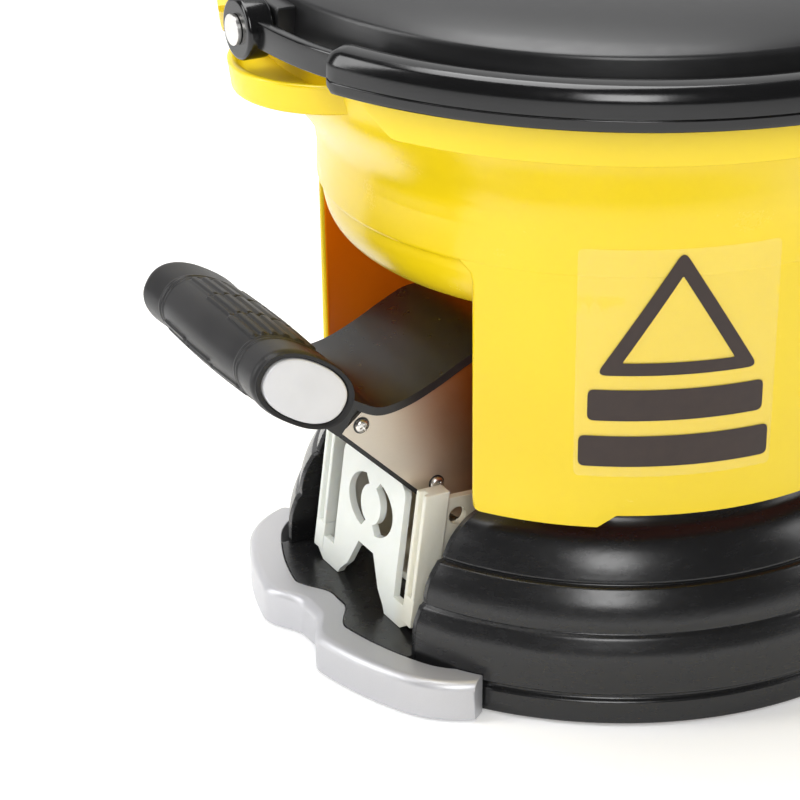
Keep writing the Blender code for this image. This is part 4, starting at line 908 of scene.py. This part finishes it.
deep = GRIP_HALF - 2.6 * MM
near_mouth = [grip_lip(-deep, 0.3), grip_lip(-deep, 0.815), grip_lip(-GRIP_HALF + 0.4 * MM, 0.822),
              grip_lip(-GRIP_HALF - 0.1 * MM, 0.845), grip_lip(-GRIP_HALF - 0.1 * MM, 0.925)]
far_mouth = [grip_lip(GRIP_HALF + 0.1 * MM, 0.925), grip_lip(GRIP_HALF + 0.1 * MM, 0.845),
             grip_lip(GRIP_HALF - 0.4 * MM, 0.822), grip_lip(deep, 0.815), grip_lip(deep, 0.3)]
sleeve = grid_to_object("grip_sleeve", near_mouth + grip_rings + far_mouth, crease=70)
fit(sleeve, RUBBER, "pedal", "black_rubber", "pedal_grip")
for name, node, side in (("grip_badge_near", "grip_cap_near", -1), ("grip_badge_far", "grip_cap_far", 1)):
    rings = [grip_lip(side * (deep - 0.2 * MM), 0.79), grip_lip(side * (GRIP_HALF - 0.2 * MM), 0.79),
             grip_lip(side * (GRIP_HALF + 0.25 * MM), 0.775), grip_lip(side * (GRIP_HALF + 0.4 * MM), 0.74),
             grip_lip(side * (GRIP_HALF + 0.4 * MM), 0.4)]
    fit(grid_to_object(name, rings, crease=70), CAP, "pedal", "silver_plastic", node)
print("sleeve: %d faces" % len(sleeve.data.polygons))

# %% [markdown]
# ### Side plates and their screws
#
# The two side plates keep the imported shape, only with a finer outline and a brushed, plated face. Each is
# held by pan-head screws with a cross in the head, over a small dark washer.

# %% Side plates and screws
CHEEK_IN, CHEEK_T = 35.3 * MM, 2 * MM
for side, tag in ((-1, "near"), (1, "far")):
    low = min(side * CHEEK_IN, side * (CHEEK_IN + CHEEK_T))
    cheek = plate("side_plate_" + tag, side_outline(0, -155 * MM, 0.3 * MM), low, low + CHEEK_T,
                  holes=[list(reversed(arc(PIVOT, 7.3 * MM, 0, 350, 36)))], bevel=0.35 * MM)
    fit(cheek, ZINC, "pedal", "zinc_steel", "cheek_" + tag)


def screw_head(name, x, z, side):
    """A domed head with a cross-shaped recess, facing out along Y."""
    face = side * (CHEEK_IN + CHEEK_T)
    pan = mm((3.3, 0.2), (3.3, 0.8), (3.0, 1.5), (2.2, 2.0), (1.0, 2.2), (0.05, 2.25), (0.05, -4), (1.6, -4),
             (1.6, 0.2))
    head = lathe(name, pan, 36)
    for turn in (25, 115):
        slot = block("cross_tool", (-1.9 * MM, -0.38 * MM, 1.2 * MM), (1.9 * MM, 0.38 * MM, 4 * MM), 0)
        slot.data.transform(Matrix.Rotation(radians(turn), 4, "Z"))
        cut(head, slot)
    head.data.transform(Matrix.Translation((x, face, z)) @ Matrix.Rotation(-side * pi / 2, 4, "X"))
    return head


for side, tag in ((-1, "near"), (1, "far")):
    for i, (x, z) in enumerate(screw_spots):
        head = screw_head("plate_screw_%s_%d" % (tag, i + 1), x, z, side)
        fit(head, STEEL, "pedal", "steel", "cheek_screw_%s_%d" % (tag, i + 1))
        edge = side * (CHEEK_IN + CHEEK_T)
        washer = rod("plate_washer_%s_%d" % (tag, i + 1), (x, edge, z), (x, edge + side * 0.25 * MM, z),
                     4.0 * MM, 40, 0)
        fit(washer, BLACK_ARM, "pedal", "black_plastic")
print("screws done")

# %% [markdown]
# ## The nylon guide
#
# A bracket of unpigmented nylon stands in the well and guides the side plates. Its front web has two curved
# slots round a plain disc and a stepped notch below; each corner post has a groove down its front. It is
# built from plates with rounded outlines, so that every edge catches a thin line of light.

# %% Nylon guide
GUIDE_HALF, POST_IN, GUIDE_X, GUIDE_TOP = 50 * MM, 41 * MM, -131 * MM, 88 * MM
FOOT_Z, SLOT_Z, TONGUE = 20.3 * MM, 66 * MM, 31 * MM
half = GUIDE_HALF - 1 * MM
web_outline = [(-half, FOOT_Z + 6 * MM), (-half + 9 * MM, FOOT_Z), (-24 * MM, FOOT_Z),
               (-22 * MM, FOOT_Z + 3 * MM), (-15.5 * MM, FOOT_Z + 9 * MM), (-7.5 * MM, 44 * MM),
               (7.5 * MM, 44 * MM), (15.5 * MM, FOOT_Z + 9 * MM), (22 * MM, FOOT_Z + 3 * MM),
               (24 * MM, FOOT_Z), (half - 9 * MM, FOOT_Z), (half, FOOT_Z + 6 * MM), (half, 32 * MM),
               (TONGUE, 32 * MM)]
web_outline += arc((TONGUE - 7 * MM, GUIDE_TOP - 7 * MM), 7 * MM, 0, 90, 10)
web_outline += arc((-TONGUE + 7 * MM, GUIDE_TOP - 7 * MM), 7 * MM, 90, 180, 10)
web_outline += [(-TONGUE, 32 * MM), (-half, 32 * MM)]
slots = []
for side in (-1, 1):
    outer = [(side * (3 * MM + 19 * MM * cos(radians(t))), SLOT_Z + 13.7 * MM * sin(radians(t)))
             for t in range(-78, 79, 6)]
    inner = [(side * 9.8 * MM * cos(radians(t)), SLOT_Z + 9.8 * MM * sin(radians(t)))
             for t in range(70, -71, -7)]
    ring = outer + inner
    slots.append(ring if side < 0 else list(reversed(ring)))
web = plate("guide_web", web_outline, GUIDE_X, GUIDE_X + 3.5 * MM, axis="X", holes=slots, bevel=0.5 * MM)
LEAN_SHARE = 0.125   # how far the guide's foot comes forward, per height below the slots
LEAN = Matrix.Identity(4)
LEAN[0][2] = LEAN_SHARE
LEAN[0][3] = -LEAN_SHARE * SLOT_Z
web.data.transform(LEAN)
fit(web, NYLON, "base", "natural_nylon", "guide_bracket")

for side, tag in ((-1, "near"), (1, "far")):
    x0 = GUIDE_X - 0.5 * MM
    mid = side * (GUIDE_HALF + POST_IN) / 2
    post_plan = [(x0, side * POST_IN), (x0, mid - side * 1.9 * MM), (x0 + 2.6 * MM, mid - side * 1.4 * MM),
                 (x0 + 2.6 * MM, mid + side * 1.4 * MM), (x0, mid + side * 1.9 * MM), (x0, side * GUIDE_HALF),
                 (x0 + 13 * MM, side * GUIDE_HALF), (x0 + 13 * MM, side * POST_IN)]
    post = plate("guide_post_" + tag, post_plan, FOOT_Z + 18 * MM, GUIDE_TOP + 3 * MM, axis="Z",
                 bevel=0.7 * MM)
    foot = plate("guide_foot_" + tag, [(x0, side * POST_IN), (x0, side * GUIDE_HALF),
                                       (x0 + 13 * MM, side * GUIDE_HALF), (x0 + 13 * MM, side * POST_IN)],
                 FOOT_Z + 4 * MM, FOOT_Z + 18.4 * MM, axis="Z", bevel=0.7 * MM)
    w0, w1 = sorted((side * 43 * MM, side * 47 * MM))
    wall_outline = rounded([(x0 + 12 * MM, FOOT_Z), (-40 * MM, FOOT_Z), *mm((-40, 60), (-44, 84)),
                            (x0 + 12 * MM, 86 * MM)], 4 * MM, 5)
    wall = plate("guide_wall_" + tag, wall_outline, w0, w1,
                 holes=[list(reversed(arc((-110 * MM, 76 * MM), 4.5 * MM, 0, 345, 24)))], bevel=0.6 * MM)
    boss = rod("guide_boss_" + tag, (PIVOT[0], side * 41.5 * MM, PIVOT[1]),
               (PIVOT[0], side * 51 * MM, PIVOT[1]), 11 * MM, 60, 0.8 * MM)
    post.data.transform(LEAN)
    foot.data.transform(LEAN)
    for piece in (post, foot, wall, boss):
        fit(piece, NYLON, "base", "natural_nylon")
sill = block("guide_sill", (-112 * MM, -46 * MM, FOOT_Z), (-40 * MM, 46 * MM, FOOT_Z + 4 * MM))
fit(sill, NYLON, "base", "natural_nylon")
print("guide done")

# %% [markdown]
# ## The splash guard
#
# A black ring covers the tank and leaves a round mouth over the basket. It is turned with rounded edges, and
# two blocks on its sides carry the handle's pins.

# %% Splash guard
GUARD_R, GUARD_EDGE, GUARD_TOP, MOUTH_R = 176 * MM, 325 * MM, 338 * MM, 108 * MM
guard_low = RIM_Z + 0.3 * MM
guard_outline = rounded([(GUARD_R, guard_low), (GUARD_R - 8 * MM, guard_low),
                         (GUARD_R - 8 * MM, guard_low + 3 * MM), (GUARD_R - 3.4 * MM, guard_low + 3 * MM),
                         (GUARD_R - 6 * MM, GUARD_EDGE - 3 * MM),
                         (MOUTH_R + 10 * MM, GUARD_TOP - 3 * MM), (MOUTH_R + 2.8 * MM, GUARD_TOP - 8 * MM),
                         (MOUTH_R + 2.8 * MM, GUARD_TOP - 16 * MM), (MOUTH_R, GUARD_TOP - 16 * MM),
                         (MOUTH_R, GUARD_TOP - 5 * MM), (MOUTH_R + 5 * MM, GUARD_TOP - 1 * MM),
                         (MOUTH_R + 12 * MM, GUARD_TOP), (GUARD_R - 12 * MM, GUARD_EDGE + 4 * MM),
                         (GUARD_R - 3 * MM, GUARD_EDGE)], 1.6 * MM, 4)
guard = lathe("guard_ring", guard_outline, 200)
fit(guard, BLACK_GUARD, "base", "black_plastic", "splash_guard")
for side, tag in ((-1, "front"), (1, "rear")):
    x0, x1 = sorted((side * (GUARD_R - 4 * MM), side * 182.6 * MM))
    ear = block("guard_ear_" + tag, (x0, -13 * MM, guard_low), (x1, 13 * MM, 322 * MM), 1.5 * MM)
    fit(ear, BLACK_GUARD, "base", "black_plastic")
print("guard done")

# %% [markdown]
# ## The folding handle
#
# A flat strap runs between two round hubs, and a thick glossy hand grip is moulded over its middle. The
# grip's outer face has a fine parting line low down. Both are swept along the same half circle.

# %% Folding handle
BAIL_R, BAIL_Z, HUB_X, HUB_T, HUB_R = 191 * MM, 311 * MM, 183 * MM, 13 * MM, 14 * MM


def bail_ring(angle, section, radius=BAIL_R):
    return [(*toward(angle, radius + r), BAIL_Z + z) for r, z in section]


strap_section = rounded(mm((2.5, 6), (2.5, -6), (-2.5, -6), (-2.5, 6)), 0.9 * MM, 3)
strap_rings = []
for i in range(121):
    near_hub = max(0.0, 1 - min(i, 120 - i) / 10)
    ease = near_hub * near_hub * (3 - 2 * near_hub)
    radius = BAIL_R + (HUB_X + HUB_T / 2 - BAIL_R) * ease
    strap_rings.append(bail_ring(3.5 + 173 * i / 120, strap_section, radius))
strap = grid_to_object("handle_strap", strap_rings)
fit(strap, BLACK_BAIL, "bail", "black_plastic", "bail_strap")
for side, tag in ((-1, "front"), (1, "rear")):
    hub = rod("handle_hub_" + tag, (side * HUB_X, 0, BAIL_Z), (side * (HUB_X + HUB_T), 0, BAIL_Z), HUB_R,
              72, 1.8 * MM)
    fit(hub, BLACK_BAIL, "bail", "black_plastic")

grip_section = rounded(mm((8.6, 4.5), (8.9, -3.6), (8.2, -3.9), (8.9, -4.3), (8.6, -9.8), (4, -10),
                          (3.4, -7.5), (-5, -7.5), (-5.6, -10), (-8.8, -9.6), (-9, 4), (-5.5, 9.4),
                          (0, 10), (5.5, 9)), 2.2 * MM, 4)
GRIP_FROM = 20.0
grip_rings = []
for i in range(141):
    angle = GRIP_FROM + (180 - 2 * GRIP_FROM) * i / 140
    from_end = min(angle - GRIP_FROM, 180 - GRIP_FROM - angle) * radians(1) * BAIL_R
    close = sqrt(max(0.0, 1 - max(0.0, 1 - from_end / (3 * MM)) ** 2))
    scale = 0.82 + 0.18 * close
    grip_rings.append(bail_ring(angle, [(r * scale, z * scale) for r, z in grip_section]))
hand_grip = grid_to_object("handle_grip", grip_rings, crease=45)
fit(hand_grip, BLACK_BAIL, "bail", "black_plastic", "bail_grip")
print("handle done")

# %% [markdown]
# ## The wringing basket
#
# The basket is a slightly tapered drum with two rows of slots that let the water out. It is turned, then a
# ring of round-ended bars is cut out of its wall.

# %% Wringing basket
BASKET_R, BASKET_Z, BASKET_TOP, BASKET_T = 100 * MM, 222 * MM, 322 * MM, 2.4 * MM
drum_outline = rounded([(BASKET_R + 3 * MM, BASKET_TOP), (BASKET_R + 3 * MM, BASKET_TOP - 3 * MM),
                        (BASKET_R, BASKET_TOP - 4 * MM), (90 * MM, BASKET_Z + 6 * MM), (84 * MM, BASKET_Z),
                        (6.3 * MM, BASKET_Z), (6.3 * MM, BASKET_Z + BASKET_T), (83 * MM, BASKET_Z + BASKET_T),
                        (87.5 * MM, BASKET_Z + 7 * MM), (BASKET_R - BASKET_T, BASKET_TOP - 3 * MM),
                        (BASKET_R - BASKET_T, BASKET_TOP)], 1.0 * MM, 4)
drum = lathe("basket_drum", drum_outline, 160)
for row, (low, high) in enumerate(((236 * MM, 268 * MM), (276 * MM, 308 * MM))):
    for i in range(8):
        turn = Matrix.Rotation(pi * (i + 0.5 * row) / 8, 4, "Z")
        for side in (-1, 1):
            outline = rounded([(-3 * MM, low), (3 * MM, low), (3 * MM, high), (-3 * MM, high)], 2.9 * MM, 5)
            tool = plate("slot_tool", outline, *sorted((side * 70 * MM, side * 120 * MM)), axis="X", bevel=0)
            tool.data.transform(turn)
            cut(drum, tool)
fit(drum, BLACK_GUARD, "basket", "black_plastic", "wringer_basket")
print("basket: %d faces" % len(drum.data.polygons))

# %% [markdown]
# ## The sign
#
# A clear film is stuck on the skirt. It carries a plain triangle and two plain bars, with no words. The
# shapes are drawn flat, cut into narrow strips, and then wrapped round the wall a hair above it.

# %% Sign film and print
SIGN_MIDDLE = 70.5


def wrapped(name, outline, holes, lift, thick):
    """A flat shape of (along, height) wrapped on the skirt, lifted off it, with a little thickness."""
    flat = plate(name, outline, -thick / 2, thick / 2, axis="Z", holes=holes, bevel=0)
    bm = bmesh.new()
    bm.from_mesh(flat.data)
    reach = max(abs(u) for u, _ in outline)
    strips = int(reach / (2 * MM))
    for i in range(-strips, strips + 1):
        geometry = bm.verts[:] + bm.edges[:] + bm.faces[:]
        bmesh.ops.bisect_plane(bm, geom=geometry, plane_co=(i * 2 * MM, 0, 0), plane_no=(1, 0, 0), dist=1e-7)
    for vert in bm.verts:
        along, height, off = vert.co
        radius = skirt_radius(height) + lift + off + thick / 2
        vert.co = (*toward(SIGN_MIDDLE + degrees(along / TANK_R), radius), height)
    bmesh.ops.recalc_face_normals(bm, faces=bm.faces)
    bm.to_mesh(flat.data)
    bm.free()
    flat.data.shade_smooth()
    flat.data.set_sharp_from_angle(angle=radians(38))
    return flat


film_outline = rounded(mm((-46, 118.5), (46, 118.5), (46, 227.5), (-46, 227.5)), 3 * MM, 5)
film = wrapped("sign_film", film_outline, [], 0.25 * MM, 0.12 * MM)
fit(film, FILM, "base", "label_film", "label_panel")


def triangle(reach, low, high, radius):
    return rounded([(-reach, low), (reach, low), (0, high)], radius, 8)


window = list(reversed(triangle(25.5 * MM, 174 * MM, 215 * MM, 1 * MM)))
sign_triangle = wrapped("sign_triangle", triangle(37 * MM, 168 * MM, 227 * MM, 5 * MM), [window],
                        0.40 * MM, 0.10 * MM)
fit(sign_triangle, INK, "base", "label_film")
bars = ((146 * MM, 161 * MM, 40.3 * MM), (123.5 * MM, 138.5 * MM, 44 * MM))
for i, (low, high, reach) in enumerate(bars):
    bar = rounded([(-reach, low), (reach, low), (reach, high), (-reach, high)], 3 * MM, 5)
    fit(wrapped("sign_bar_%d" % (i + 1), bar, [], 0.40 * MM, 0.10 * MM), INK, "base", "label_film")
print("sign done")

# %% [markdown]
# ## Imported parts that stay
#
# The well, feet, shafts, gears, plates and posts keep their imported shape. Each gets the finish of what it is
# made of, and its edges are softened with modifiers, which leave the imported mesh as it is.

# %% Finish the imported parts
by_slot = {"black_plastic": BLACK_BASE, "black_rubber": RUBBER, "silver_plastic": SILVER, "zinc_steel": ZINC,
           "natural_nylon": NYLON, "steel": STEEL, "yellow_plastic": YELLOW, "label_film": FILM}
slot_of = {part["node"]: part["material_slot"] for part in frame["record"]["subparts"]}
kept = 0
for name, node in nodes.items():
    node.data.materials.clear()
    node.data.materials.append(by_slot[slot_of[name]])
    if node.hide_render:
        continue
    weld = node.modifiers.new("weld", "WELD")
    weld.merge_threshold = 0.00001
    soften(node, 0.25 * MM, 2, 40)
    kept += 1
print("packed parts kept:", kept)

# %% [markdown]
# ## Floor and light
#
# A plain pale floor and four soft lights, as in a small studio: a tall light on the left that draws the pale
# stripe down the tank, a broad light above and behind for the line along the handle, a front light, and a
# weak fill on the right. The room is dark in front and white behind. Black plastic needs that: it shows
# little but what it mirrors.

# %% Floor and light
def floor():
    bm = bmesh.new()
    bmesh.ops.create_grid(bm, x_segments=2, y_segments=2, size=4.0)
    made = to_object(bm, "studio_floor")
    finish = Finish("studio_white", {"Roughness": 0.9, "Specular IOR Level": 0.1,
                                     "Emission Color": rgb(1, 1, 1), "Emission Strength": 0.22})
    finish.color(finish.mix(finish.noise(3, 2), rgb(0.90, 0.90, 0.90), rgb(0.93, 0.93, 0.93)))
    made.data.materials.append(finish.material)
    made.location.z = -0.0004
    made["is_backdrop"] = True
    return made


def softbox(name, place, target, width, height, power):
    light = bpy.data.lights.new(name, "AREA")
    light.shape = "RECTANGLE"
    light.size = width
    light.size_y = height
    light.energy = power
    lamp = bpy.data.objects.new(name, light)
    lamp.location = place
    lamp.rotation_euler = (Vector(target) - Vector(place)).to_track_quat("-Z", "Y").to_euler()
    bpy.context.scene.collection.objects.link(lamp)
    return lamp


floor()
softbox("left_light", (-1.5, 0.5, 0.9), (0, 0, 0.20), 0.5, 1.4, 14)
softbox("top_light", (-0.2, 0.3, 2.0), (0, 0, 0.15), 1.6, 1.0, 34)
softbox("front_light", (-1.1, -1.9, 1.5), (0, 0, 0.15), 0.7, 1.4, 30)
softbox("right_light", (1.8, -1.3, 0.9), (0, 0, 0.15), 0.6, 1.4, 10)


def studio_world():
    """A dark room with a white sweep behind the bucket."""
    world = bpy.data.worlds.new("studio")
    bpy.context.scene.world = world
    world.use_nodes = True
    tree = world.node_tree
    way = tree.nodes.new("ShaderNodeTexCoord")
    facing = tree.nodes.new("ShaderNodeVectorMath")
    facing.operation = "DOT_PRODUCT"
    facing.inputs[1].default_value = (sin(radians(28)), cos(radians(28)), 0)
    step = tree.nodes.new("ShaderNodeMapRange")
    step.interpolation_type = "SMOOTHSTEP"
    step.inputs["From Min"].default_value = 0.42
    step.inputs["From Max"].default_value = 0.52
    step.inputs["To Min"].default_value = 0.10
    step.inputs["To Max"].default_value = 1.0
    tree.links.new(way.outputs["Generated"], facing.inputs[0])
    tree.links.new(facing.outputs["Value"], step.inputs["Value"])
    tree.links.new(step.outputs["Result"], tree.nodes["Background"].inputs["Strength"])
    tree.nodes["Background"].inputs["Color"].default_value = (1, 1, 1, 1)


studio_world()
bpy.context.scene.view_settings.view_transform = "Standard"
print("studio ready")

# %% [markdown]
# ## The size
#
# The fine surfaces must fill the same box as the imported parts. The box round the visible pieces is printed.

# %% Size of the visible pieces
bpy.context.view_layer.update()
low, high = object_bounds()
print("visual box", [round(v, 4) for v in high - low])
